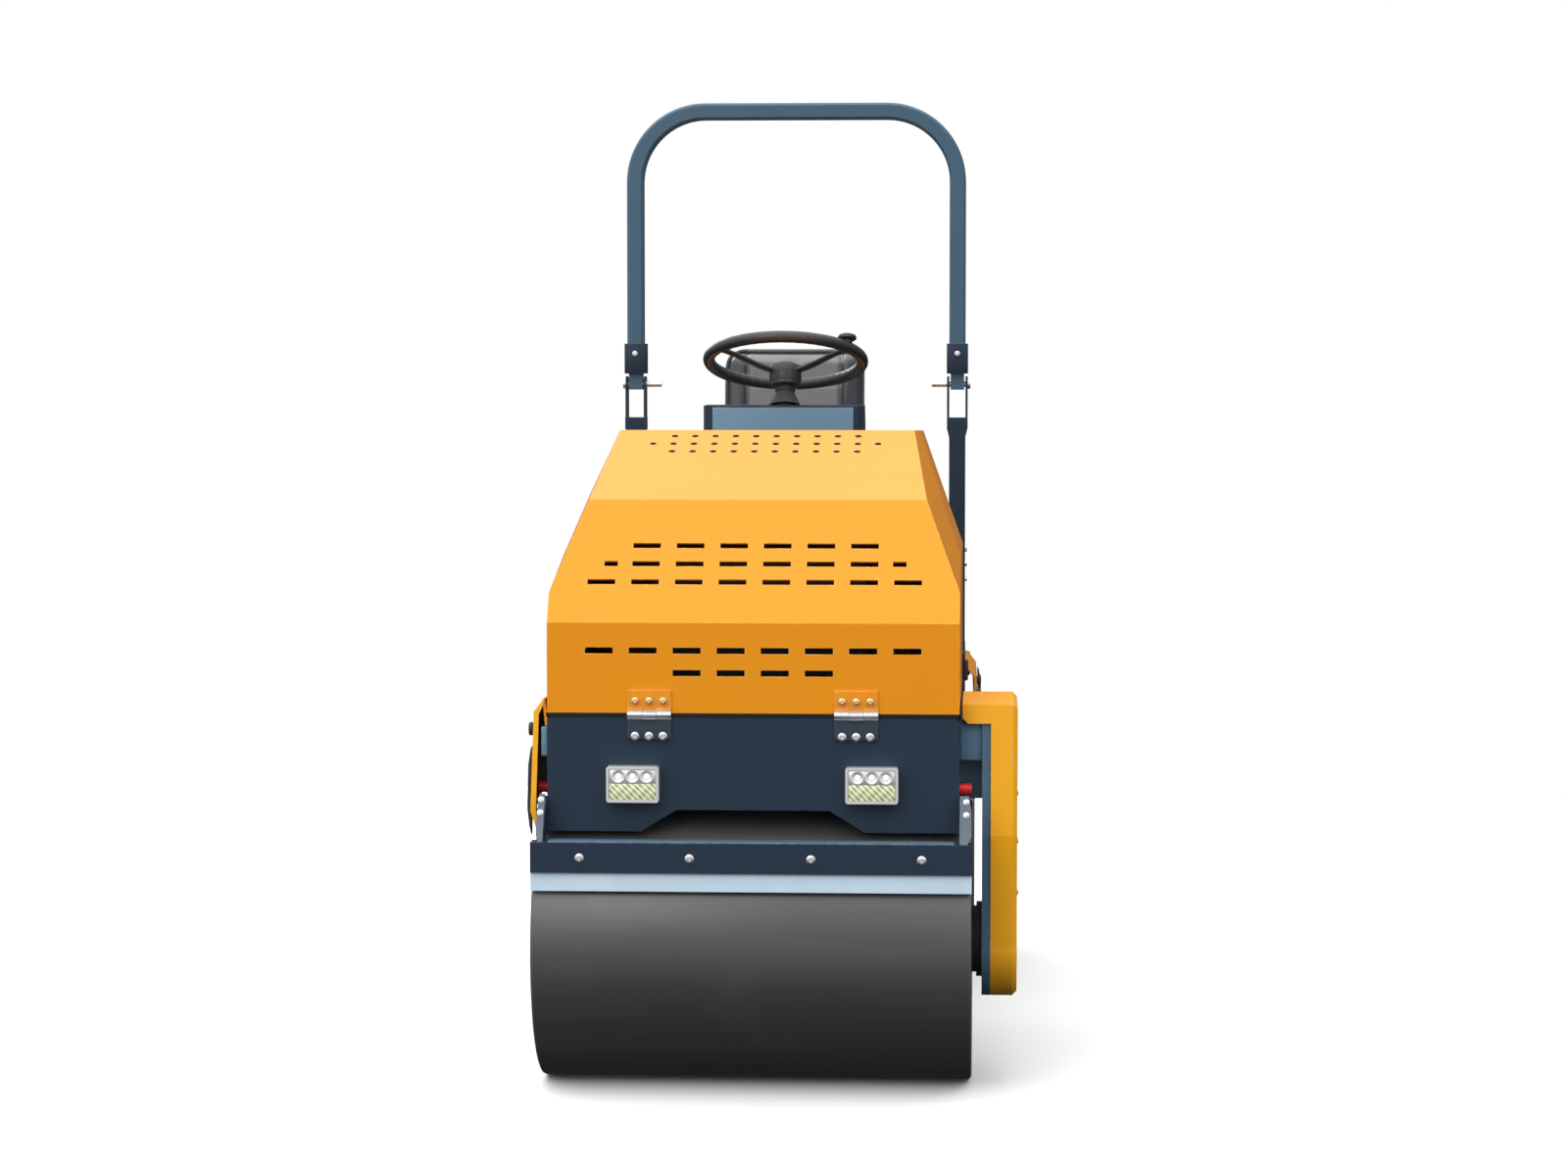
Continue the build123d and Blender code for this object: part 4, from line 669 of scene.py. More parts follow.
class RollerStage(bpy.types.PropertyGroup):
    """The camera, the lights and the floor."""

    camera_x: FloatProperty(
        name="Camera across", description="Camera place across the machine", unit="LENGTH", default=0.423)
    camera_distance: FloatProperty(
        name="Camera ahead", description="Camera place ahead of the centre joint", unit="LENGTH",
        default=7.585)
    camera_height: FloatProperty(
        name="Camera height", description="Camera height over the floor", unit="LENGTH", default=1.35)
    camera_turn: FloatProperty(
        name="Camera turn", description="Turn of the view to the left", subtype="ANGLE", default=0.0546)
    camera_dip: FloatProperty(
        name="Camera dip", description="Tilt of the view below level", subtype="ANGLE", default=0.0631)
    lens: FloatProperty(
        name="Lens", description="Focal length in millimetres on a 36 mm frame", default=84.8)
    zenith: FloatProperty(
        name="Zenith", description="Strength of the light from overhead", default=2.65)
    horizon: FloatProperty(
        name="Horizon", description="Strength of the light from all round", default=0.92)
    underfoot: FloatProperty(
        name="Underfoot", description="Strength of the light from below", default=0.04)
    behind: FloatProperty(
        name="Behind", description="Share of the horizon's light that comes from behind", default=0.12)
    right_side: FloatProperty(
        name="Right side", description="Share of the light that comes from the right", default=0.42)
    key: FloatProperty(
        name="Key light", description="Power of the light from the front left in watts", default=60.0)


# ------------------------------------------------------------------ operators
class ROLLER_OT_cad_finishes(bpy.types.Operator):
    """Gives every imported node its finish"""

    bl_idname = "roller.cad_finishes"
    bl_label = "Finish the packed nodes"

    def execute(self, context):
        make_finishes(context.scene.roller_look)
        for part in frame["record"]["subparts"]:
            look = NODE_FINISH.get(part["node"]) or SLOT_FINISH[part["material_slot"]]
            materials = frame["nodes"][part["node"]].data.materials
            materials.clear()
            materials.append(FINISHES[look])
        return {"FINISHED"}


class ROLLER_OT_drums(bpy.types.Operator):
    """Makes the two smooth drums with their welded end discs, hubs and hub bolts"""

    bl_idname = "roller.drums"
    bl_label = "Drums"

    FREE_DISC = -0.355
    DRIVE_DISC = 0.330
    HUB_FACE = 0.342
    HUB_BOLTS = 8
    BOLT_CIRCLE = 0.076
    BOLT_TURN = math.radians(50)

    def profile(self):
        """Closed drum outline as (radius, place along the axle), from the free disc to the spindle."""
        free, drive, hub = self.FREE_DISC, self.DRIVE_DISC, self.HUB_FACE
        return [
            (0, free - 0.006), (0.020, free - 0.006), (0.022, free), (0.226, free), (0.233, free - 0.002),
            (0.240, free - 0.008), (0.242, free - 0.015), (0.242, -0.398), (0.244, -0.400), (0.254, -0.400),
            (0.2582, -0.3982), (0.260, -0.394), (0.260, 0.394), (0.2582, 0.3982), (0.254, 0.400),
            (0.244, 0.400), (0.242, 0.398), (0.242, drive + 0.015), (0.240, drive + 0.008),
            (0.233, drive + 0.002), (0.226, drive), (0.094, drive), (0.091, drive + 0.003),
            (0.090, hub - 0.002), (0.088, hub), (0.035, hub), (0.0315, hub + 0.0015), (0.030, hub + 0.005),
            (0.030, hub + 0.052), (0.027, hub + 0.055), (0, hub + 0.055),
        ]

    def execute(self, context):
        fittings = context.scene.roller_fittings
        circle = []
        for i in range(self.HUB_BOLTS):
            angle = FULL_TURN * i / self.HUB_BOLTS
            place = (self.HUB_FACE, -AXLE_Y + self.BOLT_CIRCLE * math.sin(angle),
                     AXLE_Z + self.BOLT_CIRCLE * math.cos(angle))
            circle.append((place, ASIDE, fittings.bolt_head))
        head = hex_bolt()
        for end, turn in ENDS:
            bm = bmesh.new()
            lathe(bm, self.profile(), turn @ aimed((0, -AXLE_Y, AXLE_Z), ASIDE), segments=128)
            new_piece(f"{end}_drum_shell", bm, f"{end}_roller", "drum", f"{end}_drum")
            scattered(f"{end}_hub_bolts", head, turned(circle, turn), f"{end}_roller", "zinc",
                      self.BOLT_TURN, fittings.seed)
        return {"FINISHED"}


class ROLLER_OT_steering(bpy.types.Operator):
    """Makes the steering wheel with finger grips, its cap and spinner knob, and the column's bellows"""

    bl_idname = "roller.steering"
    bl_label = "Steering wheel and column"

    RADIUS = 0.162
    RIM = 0.0125
    GRIP_DEPTH = 0.0016
    DISH = 0.026
    HUB_EDGE = 0.020
    SPOKES = 3
    SPOKE_SQUARENESS = 0.6         # 1 gives an oval section, less a squarer one
    KNOB_ANGLE = math.radians(-35)
    BELLOWS_FOOT = -0.106
    BELLOWS_RIBS = 5

    def axis(self, angle=0.0, out=0.0):
        """Place on the wheel's own axis, or out from it at an angle."""
        return (Matrix.Translation(WHEEL_CENTRE) @ Matrix.Rotation(-WHEEL_TILT, 4, "X")
                @ Matrix.Rotation(angle, 4, "Z") @ Matrix.Translation((out, 0, 0)))

    def rim(self, bm, grips, around=176, across=18):
        """Round rim with finger hollows on its inner side."""
        rings = []
        for i in range(around):
            turn = FULL_TURN * i / around
            points = []
            for k in range(across):
                angle = FULL_TURN * k / across
                hollow = self.GRIP_DEPTH * max(0.0, -math.cos(angle)) * (0.5 + 0.5 * math.cos(grips * turn))
                radius = self.RIM - hollow
                out = self.RADIUS + radius * math.cos(angle)
                points.append((out * math.cos(turn), out * math.sin(turn), radius * math.sin(angle)))
            rings.append(new_ring(bm, self.axis(), points))
        loft(bm, rings + rings[:1])

    def spoke(self, bm, angle, steps=10, across=12):
        """Dished spoke with a rounded section that narrows towards the rim."""
        def squared(share):
            return math.copysign(abs(share) ** self.SPOKE_SQUARENESS, share)

        rings = []
        for i in range(steps + 1):
            t = i / steps
            out = self.HUB_EDGE + t * (self.RADIUS - self.HUB_EDGE)
            rise = -self.DISH + self.DISH * t * t * (3 - 2 * t)
            half, thick = 0.0115 - 0.0025 * t, 0.0042 - 0.0008 * t
            section = [FULL_TURN * k / across for k in range(across)]
            rings.append(new_ring(bm, self.axis(angle), [
                (out, half * squared(math.cos(a)), rise + thick * squared(math.sin(a))) for a in section]))
        loft(bm, rings, capped=True)

    def execute(self, context):
        wheel = bmesh.new()
        self.rim(wheel, context.scene.roller_fittings.grips)
        for i in range(self.SPOKES):
            self.spoke(wheel, math.radians(90 + 360 * i / self.SPOKES))
        lathe(wheel, [(0, -0.0580), (0.026, -0.0580), (0.030, -0.055), (0.031, -0.048), (0.034, -0.043),
                      (0.034, -0.018), (0.0325, -0.014), (0.029, -0.0120), (0, -0.0120)], self.axis(), 48)
        new_piece("steering_rim", wheel, "wheel", "plastic", "steering_wheel")

        cap = [(0, -0.0125), (0.026, -0.0125), (0.026, -0.0105), (0.024, -0.0085), (0.015, -0.0062),
               (0, -0.0055)]
        knob = [(0.011, 0.009), (0.0115, 0.0125), (0.008, 0.0135), (0.008, 0.0150), (0.0165, 0.0155),
                (0.0195, 0.0180), (0.0200, 0.0210), (0.0185, 0.0245), (0.012, 0.0275), (0, 0.0285)]
        bellows = [(0.019, self.BELLOWS_FOOT - 0.002)]
        for i in range(self.BELLOWS_RIBS):
            low = self.BELLOWS_FOOT + 0.0090 * i
            wide = 0.0228 - 0.0004 * i
            bellows += [(wide - 0.002, low), (wide, low + 0.0025), (wide, low + 0.0045),
                        (wide - 0.002, low + 0.0080)]
        bellows += [(0.0195, -0.057), (0.019, -0.055)]
        knob_place = self.axis(self.KNOB_ANGLE, self.RADIUS)
        for name, profile, place, segments, body, look in (
            ("steering_cap", cap, self.axis(), 40, "wheel", "rubber"),
            ("steering_knob", knob, knob_place, 36, "wheel", "plastic"),
            ("column_bellows", bellows, self.axis(), 48, "rear_frame", "rubber"),
        ):
            bm = bmesh.new()
            lathe(bm, profile, place, segments)
            new_piece(name, bm, body, look)
        return {"FINISHED"}


class ROLLER_OT_seat(bpy.types.Operator):
    """Swells the seat pads by a cloth pass, sews their channels and adds the back's shell and the piping"""

    bl_idname = "roller.seat"
    bl_label = "Seat"

    CUSHION_FRONT = 0.385
    CUSHION_REAR = 0.725
    CUSHION_LOW = 0.9523
    CUSHION_HIGH = 1.0523
    CUSHION_HALF = 0.185
    CUSHION_CHANNELS = (0.085, 0.175, 0.265)       # behind the pad's front
    BACK_FOOT = (SEAT_X, 0.7253, 0.9873)
    BACK_HALF = 0.161
    BACK_HIGH = 0.392
    BACK_THICK = 0.080
    BACK_CHANNELS = (0.10, 0.20, 0.30)             # up the back
    BACK_TURN = Matrix.Translation(BACK_FOOT) @ Matrix.Rotation(-BACK_LEAN, 4, "X")
    BOLSTER = 0.108
    SIDE_CHANNEL = 0.008                           # half widths of the channels
    CROSS_CHANNEL = 0.007
    FILL = 0.85
    VOXEL = 0.006
    CLOTH_FRAMES = 20

    def swollen(self, bm, name, fittings):
        """Remeshes a closed form, swells it by cloth pressure within the cap and returns its mesh."""
        pad = bpy.data.objects.new(name, as_mesh(bm, name))
        scene = bpy.context.scene
        scene.collection.objects.link(pad)
        remesh = pad.modifiers.new("remesh", "REMESH")
        remesh.mode = "VOXEL"
        remesh.voxel_size = self.VOXEL
        pad.data = applied(pad)
        start = [v.co.copy() for v in pad.data.vertices]
        settings = pad.modifiers.new("swell", "CLOTH").settings
        settings.use_pressure = True
        settings.uniform_pressure_force = fittings.swell_pressure
        settings.effector_weights.gravity = 0.0
        settings.quality = 5
        for number in range(1, self.CLOTH_FRAMES + 1):
            scene.frame_set(number)
        pad.data = applied(pad)
        scene.frame_set(1)
        for vertex, rest in zip(pad.data.vertices, start):
            move = vertex.co - rest
            if move.length > fittings.swell_cap:
                vertex.co = rest + move.normalized() * fittings.swell_cap
        mesh = pad.data
        bpy.data.objects.remove(pad)
        return mesh

    def channels(self, along, places, middle, open_side):
        """The share of full depth, at a point, of the side channels and of the cross channels."""
        def side(co):
            near = abs(abs(co.x - middle) - self.BOLSTER)
            return max(0.0, 1 - near / self.SIDE_CHANNEL) if open_side(co) else 0.0

        def cross(co):
            near = min(abs(co[along] - place) for place in places)
            inner = abs(co.x - middle) < self.BOLSTER and open_side(co)
            return max(0.0, 1 - near / self.CROSS_CHANNEL) if inner else 0.0

        return side, cross

    def sewn(self, mesh, name, replaced, grooves, box, place=STILL):
        """Smooths a pad, keeps it in its box, presses its channels in and puts it in place."""
        bm = bmesh.new()
        bm.from_mesh(mesh)
        for _ in range(3):
            bmesh.ops.smooth_vert(bm, verts=bm.verts, factor=0.5, use_axis_x=True, use_axis_y=True,
                                  use_axis_z=True)
        for vertex in bm.verts:
            for axis, (low, high) in enumerate(zip(*box)):
                vertex.co[axis] = min(max(vertex.co[axis], low), high)
            for depth, push in grooves:
                vertex.co += push * depth(vertex.co)
        bmesh.ops.transform(bm, matrix=place, verts=bm.verts)
        bmesh.ops.subdivide_edges(bm, edges=bm.edges, cuts=1, use_grid_fill=True, smooth=0.0)
        piece = new_piece(name, bm, "rear_frame", "vinyl")
        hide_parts(replaced)

    def cushion(self, fittings):
        """Crowned seat pad with two raised bolsters and sewn channels, flat underneath."""
        half = self.CUSHION_HALF - 0.006
        front, rear = self.CUSHION_FRONT + 0.005, self.CUSHION_REAR - 0.004
        low, high = self.CUSHION_LOW + 0.001, self.CUSHION_HIGH - 0.016
        bm = bmesh.new()
        slab(bm, (SEAT_X - half, front, low), (SEAT_X + half, rear, high), 0.030, segments=5)
        mesh = self.swollen(bm, "seat_cushion_pad", fittings)
        side, cross = self.channels(1, [front + y for y in self.CUSHION_CHANNELS], SEAT_X,
                                    lambda co: co.z > low + 0.055)
        box = ((SEAT_X - self.CUSHION_HALF, self.CUSHION_FRONT, low),
               (SEAT_X + self.CUSHION_HALF, self.CUSHION_REAR, self.CUSHION_HIGH))
        self.sewn(mesh, "seat_cushion_cover", "seat_cushion", ((side, UP * -0.009), (cross, UP * -0.006)), box)

    def back(self, fittings):
        """Leaning back pad with bolsters and sewn channels; its own frame has the face at y = 0."""
        half, high, thick = self.BACK_HALF - 0.005, self.BACK_HIGH - 0.005, self.BACK_THICK - 0.018
        bm = bmesh.new()
        slab(bm, (-half, 0.010, 0.006), (half, thick, high), 0.028, segments=5)
        mesh = self.swollen(bm, "seat_back_pad", fittings)
        side, cross = self.channels(2, self.BACK_CHANNELS, 0.0, lambda co: co.y < 0.035)
        box = ((-self.BACK_HALF, 0.0, 0.0), (self.BACK_HALF, self.BACK_THICK - 0.010, self.BACK_HIGH))
        self.sewn(mesh, "seat_back_cover", "seat_back", ((side, AHEAD * -0.010), (cross, AHEAD * -0.006)), box,
                  self.BACK_TURN)

    def shell(self):
        """Moulded shell behind the back pad."""
        bm = bmesh.new()
        half, high, corner = self.BACK_HALF - 0.003, self.BACK_HIGH - 0.004, 0.036
        outer = rounded_outline(-half, half, 0.004, high, corner)
        inner = rounded_outline(-half + 0.020, half - 0.020, 0.024, high - 0.020, corner - 0.012)
        loft(bm, [new_ring(bm, self.BACK_TURN, [(x, y, z) for x, z in loop])
                  for loop, y in ((outer, 0.052), (outer, 0.066), (inner, 0.0795))], capped=True)
        new_piece("seat_back_shell", bm, "rear_frame", "plastic")

    def piping(self):
        """Piping round the cushion's foot and round the back pad."""
        bm = bmesh.new()
        foot = rounded_outline(SEAT_X - 0.179, SEAT_X + 0.179, self.CUSHION_FRONT + 0.006,
                               self.CUSHION_REAR - 0.006, 0.030)
        ring_tube(bm, [(x, y, self.CUSHION_LOW + 0.006) for x, y in foot], 0.0045)
        face = rounded_outline(-self.BACK_HALF + 0.006, self.BACK_HALF - 0.006, 0.010, self.BACK_HIGH - 0.006,
                               0.040)
        ring_tube(bm, [self.BACK_TURN @ Vector((x, 0.050, z)) for x, z in face], 0.0040)
        new_piece("seat_piping", bm, "rear_frame", "vinyl")

    def execute(self, context):
        fittings = context.scene.roller_fittings
        self.cushion(fittings)
        self.back(fittings)
        self.shell()
        self.piping()
        return {"FINISHED"}


class ROLLER_OT_bolts(bpy.types.Operator):
    """Puts the bolts on every body, each from a table of places"""

    bl_idname = "roller.bolts"
    bl_label = "Bolts"

    BOLT_TURN = math.radians(60)
    # each row: places on the machine's left or right side, direction faced, share of the bolt head's radius
    HOOD_HINGE = ([(x, -0.9015, 0.7198) for x in HINGE_XS], AHEAD, 0.62)
    PLATE_HINGE = ([(x, -0.9015, 0.6554) for x in HINGE_XS], AHEAD, 0.75)
    BEAM = ([(x, -0.9705, 0.440) for x in (0.110, 0.310)], AHEAD, 0.80)
    POST = ([(0.3745, 0.666, z) for z in (0.851, 0.884, 0.917)], ASIDE, 0.9)
    POST_FOOT = ([(x, y, 0.7065) for x in (0.323, 0.351) for y in (0.628, 0.704)], UP, 1.0)
    SLEEVE = ([(0.359, 0.6354, 1.352)], AHEAD, 0.6)
    COVER = ([(0.4830, -AXLE_Y, z) for z in (0.535, 0.445, 0.348)], ASIDE, 0.85)
    BRACKET_ROWS = (0.062, 0.088)   # up a bracket
    BRACKET_SHARE = 0.55            # of the bolt head's radius, and of the way across a bracket's half

    def bracket_bolts(self, radius):
        """Two bolts on each half of the scraper's brackets, square to their lean."""
        lean = Matrix.Rotation(-BRACKET_LEAN, 4, "X")
        foot_x, foot_y, foot_z = BRACKET_FOOT
        bolts = []
        for side, wide in ((1, BRACKET_WIDE), (-1, BRACKET_NARROW)):
            foot = Vector((side * foot_x, foot_y, foot_z))
            for z in self.BRACKET_ROWS:
                spot = Vector((side * wide * self.BRACKET_SHARE, -BRACKET_PLATE, z))
                bolts.append((foot + lean @ spot, lean @ AHEAD, radius * self.BRACKET_SHARE))
        return bolts

    def execute(self, context):
        fittings = context.scene.roller_fittings

        def row(places, facing, share):
            return [(place, facing, fittings.bolt_head * share) for place in places]

        beam = mirrored(row(*self.BEAM)) + self.bracket_bolts(fittings.bolt_head)
        post = mirrored(row(*self.POST)) + mirrored(row(*self.POST_FOOT))
        cover = row(*self.COVER)
        head, dome = hex_bolt(), dome_bolt()
        for name, body, item, points, look in (
            ("hood_hinge_bolts", "engine_hood", head, mirrored(row(*self.HOOD_HINGE)), "yellow_reflecting_zinc"),
            ("plate_hinge_bolts", "front_frame", head, mirrored(row(*self.PLATE_HINGE)), "zinc"),
            ("front_beam_bolts", "front_frame", head, beam, "zinc"),
            ("rear_beam_bolts", "rear_frame", head, turned(beam, HALF_TURN), "zinc"),
            ("post_bolts", "rear_frame", head, post, "zinc"),
            ("sleeve_bolts", "rollover_hoop", head, mirrored(row(*self.SLEEVE)), "zinc"),
            ("front_cover_bolts", "front_frame", dome, cover, "yellow_reflecting_zinc"),
            ("rear_cover_bolts", "rear_frame", dome, turned(cover, HALF_TURN), "yellow_reflecting_zinc"),
        ):
            scattered(name, item, points, body, look, self.BOLT_TURN, fittings.seed)
        return {"FINISHED"}


class ROLLER_OT_lamps(bpy.types.Operator):
    """Fills the lamps with a reflector, bright diodes and a diamond-cut lens"""

    bl_idname = "roller.lamps"
    bl_label = "Lamps"

    LAMP_X = 0.218
    LAMP_Z = 0.568
    HALF_WIDE = 0.0425
    HALF_HIGH = 0.0275
    FLOOR_Y = -0.914
    DIODE_PITCH = 0.026
    CUP = ((0.0118, 0), (0.0124, 0.0022), (0.0112, 0.0024), (0.0072, 0.0006), (0, 0.0004))
    DIODE = ((0.0052, 0.0004), (0.0048, 0.0022), (0.0030, 0.0032), (0, 0.0036))

    def execute(self, context):
        back, z = self.FLOOR_Y, self.LAMP_Z
        for end, turn in ENDS:
            reflector, lens, diodes = bmesh.new(), bmesh.new(), bmesh.new()
            for side in (-1, 1):
                x = side * self.LAMP_X
                left, right = x - self.HALF_WIDE, x + self.HALF_WIDE
                slab(reflector, (left, back - 0.0020, z + 0.002), (right, back, z + self.HALF_HIGH), 0.0006,
                     turn)
                for k in (-1, 0, 1):
                    spot = turn @ aimed((x + k * self.DIODE_PITCH, back - 0.0018, z + 0.0150), AHEAD)
                    lathe(reflector, self.CUP, spot, 28)
                    lathe(diodes, self.DIODE, spot, 20)
                slab(lens, (left, back - 0.0035, z - self.HALF_HIGH), (right, back, z + 0.001), 0.0008, turn)
            new_piece(f"{end}_lamp_reflectors", reflector, f"{end}_frame", "mirror")
            new_piece(f"{end}_lamp_diodes", diodes, f"{end}_frame", "diode")
            new_piece(f"{end}_lamp_lenses", lens, f"{end}_frame", "lens")
        return {"FINISHED"}


class ROLLER_OT_trim(bpy.types.Operator):
    """Adds the hood's black strip and hole plugs, both painted shade, its latches, the side covers' strips and
    the scrapers' brackets
    """

    bl_idname = "roller.trim"
    # the seals of this label are the hood's black strip of painted shade
    bl_label = "Seals, latches and brackets"

    KNEE = (-0.735, 1.081)          # y, z where the hood's top begins
    TOP_RUN = 0.302
    TOP_RISE = 0.123
    HOLE_PITCH = 0.0394
    HOLE_RADIUS = 0.0074
    HOLE_ROWS = ((0.2234, 10), (0.2600, 12), (0.2966, 10))      # way up the top, holes in the row
    HOLE_SHADE_DEPTH = 0.0004
    HOOP_HEIGHT = 0.623             # over its fold joint
    POST_X = 0.359
    WRAP_HALF = (0.0236, 0.0306)
    WRAP_RISE = (0.0236, 0.0906)    # over the fold joint
    SHADOW_STRIP_RUN = ((-0.3765, -0.120), (-0.3765, -0.8905), (0.3765, -0.8905), (0.3765, -0.120))
    SHADOW_STRIP_HALF = 0.002
    SHADOW_STRIP_RISE = (-0.0045, 0.0030)   # from the rail's top
    # a latch's plate and its handle: how far out, from and to along the hood, from and to up it, edge radius
    LATCH_SLABS = ((0.006, -0.232, -0.208, 0.040, 0.062, 0.0015), (0.012, -0.228, -0.212, 0.006, 0.048, 0.004))
    # outlines of (across, up), and the knob's profile of (radius, out)
    STRIP = ((-0.4080, 0.470), (-0.4045, 0.636), (-0.4085, 0.630), (-0.4130, 0.600), (-0.4155, 0.520),
             (-0.4120, 0.488))
    STRIP_Y = -0.862
    STRIP_DEEP = 0.020
    RIM_Y = -0.8858
    RIM_DEEP = 0.0024
    KNOB = ((0.009, -0.003), (0.009, 0.003), (0.0125, 0.0035), (0.0125, 0.0085), (0.0105, 0.0100), (0, 0.0104))
    KNOB_X = -0.4035
    KNOB_YS = (STRIP_Y, -0.520)
    KNOB_Z = {"front": 0.664, "rear": 0.606}
    # spacer faces in pale slate, painted light: low corner, high corner, edge radius
    LIT_BLOCKS = (((-0.3880, -0.8885, 0.617), (-0.3770, -0.8600, 0.670), 0.0012),
              ((0.3785, -0.8325, 0.608), (0.4175, -0.8300, 0.672), 0.0008))
    BRACKET = ((0.0, 0.004), (0.60, 0.0), (1.0, 0.018), (1.0, 0.070), (0.78, 0.100), (0.0, 0.100))
    LIP_HALF = 0.3685
    LIP_RUN = (0.0002, 0.0385)      # behind the beam's front
    LIP_RISE = (-0.0010, 0.0024)    # from the beam's top

    def hole_shade(self, seed):
        """Black plugs, painted shade, that close the round holes of the hood's top just under its skin."""
        rise = Vector((0, self.TOP_RUN, self.TOP_RISE)).normalized()
        out = ASIDE.cross(rise)
        points = []
        for way_up, count in self.HOLE_ROWS:
            for i in range(count):
                x = (i - (count - 1) / 2) * self.HOLE_PITCH
                place = Vector((x, *self.KNEE)) + rise * way_up - out * self.HOLE_SHADE_DEPTH
                points.append((place, out, self.HOLE_RADIUS))
        scattered("hood_hole_lining", hole_shade_plug(), points, "engine_hood", "shade_black", 0.0, seed)

    def sleeve_wraps(self):
        """Dark painted wraps on the hoop's two sleeves."""
        low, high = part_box("hoop")
        middle = (low.y + high.y) / 2
        foot, top = (high.z - self.HOOP_HEIGHT + rise for rise in self.WRAP_RISE)
        wide, deep = self.WRAP_HALF
        bm = bmesh.new()
        for x in (-self.POST_X, self.POST_X):
            slab(bm, (x - wide, middle - deep, foot), (x + wide, middle + deep, top), 0.0015)
        new_piece("hoop_sleeve_wraps", bm, "rollover_hoop", "slate")

    def hood_seal(self):
        """Black strip, rubber in finish, that paints the shadow line between the hood and what it closes on.
        """
        bm = bmesh.new()
        foot, top = (RAIL_TOP + rise for rise in self.SHADOW_STRIP_RISE)
        half = self.SHADOW_STRIP_HALF
        for start, stop in zip(self.SHADOW_STRIP_RUN, self.SHADOW_STRIP_RUN[1:]):
            (x0, x1), (y0, y1) = (sorted(pair) for pair in zip(start, stop))
            slab(bm, (x0 - half, y0 - half, foot), (x1 + half, y1 + half, top), 0.0008)
        new_piece("hood_seal", bm, "front_frame", "shade_black")

    def hood_latches(self):
        """Two draw latches low on the hood's sides."""
        for side, name in ((-1, "hood_latch_left"), (1, "hood_latch_right")):
            bm = bmesh.new()
            for out, y0, y1, z0, z1, bevel in self.LATCH_SLABS:
                x0, x1 = sorted((side * FRAME_HALF, side * (FRAME_HALF + out)))
                slab(bm, (x0, y0, RAIL_TOP + z0), (x1, y1, RAIL_TOP + z1), bevel)
            new_piece(name, bm, "engine_hood", "rubber")

    def side_cover(self, end, turn):
        """A side cover's black edge strip and turn knobs, the blocks that it bears on, their pale faces
        painted light, and its rim, a paler yellow band of painted highlight along the cover's front edge.
        """
        body = f"{end}_frame"
        bm = bmesh.new()
        plate(bm, self.STRIP, self.STRIP_DEEP, turn @ Matrix.Translation((0, self.STRIP_Y, 0)))
        for y in self.KNOB_YS:
            lathe(bm, self.KNOB, turn @ aimed((self.KNOB_X, y, self.KNOB_Z[end]), -ASIDE), 24)
        new_piece(f"{end}_side_strip", bm, body, "rubber")
        bm = bmesh.new()
        for low, high, bevel in self.LIT_BLOCKS:
            slab(bm, low, high, bevel, turn)
        new_piece(f"{end}_cover_block", bm, body, "lit_slate")
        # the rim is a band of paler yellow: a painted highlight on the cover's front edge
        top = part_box(f"{end}_side_cover")[1].z
        outline = [(-0.3825, top - 0.0005), (-0.4018, top - 0.0262), (-0.4088, 0.5152), (-0.3932, 0.4655),
                   (-0.3905, 0.4695), (-0.3985, 0.5175), (-0.3925, top - 0.0310), (-0.3835, top - 0.0120)]
        bm = bmesh.new()
        plate(bm, outline, self.RIM_DEEP, turn @ Matrix.Translation((0, self.RIM_Y, 0)))
        new_piece(f"{end}_side_rim", bm, body, "lit_yellow")

    def scraper_brackets(self, end, turn):
        """Zinc plates that clamp the scraper's hangers, tapered towards both ends."""
        lean = Matrix.Rotation(-BRACKET_LEAN, 4, "X")
        bm = bmesh.new()
        for side, wide in ((1, BRACKET_WIDE), (-1, -BRACKET_NARROW)):
            foot = Matrix.Translation((side * BRACKET_FOOT[0], *BRACKET_FOOT[1:]))
            plate(bm, [(wide * x, z) for x, z in self.BRACKET], BRACKET_PLATE, turn @ foot @ lean)
        new_piece(f"{end}_scraper_brackets", bm, f"{end}_frame", "dull_zinc")

    def beam_lip(self, end, turn):
        """Pale flange on top of a scraper's beam, between its hangers."""
        low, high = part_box("front_scraper_blade")
        front, back = (low.y - BEAM_SHEET + run for run in self.LIP_RUN)
        foot, top = (high.z + BEAM_OVER_BLADE + rise for rise in self.LIP_RISE)
        bm = bmesh.new()
        slab(bm, (-self.LIP_HALF, front, foot), (self.LIP_HALF, back, top), 0.0012, turn)
        new_piece(f"{end}_scraper_lip", bm, f"{end}_frame", "arm_slate")

    def execute(self, context):
        self.hole_shade(context.scene.roller_fittings.seed)
        self.sleeve_wraps()
        self.hood_seal()
        self.hood_latches()
        for make in (self.side_cover, self.scraper_brackets, self.beam_lip):
            for end, turn in ENDS:
                make(end, turn)
        return {"FINISHED"}


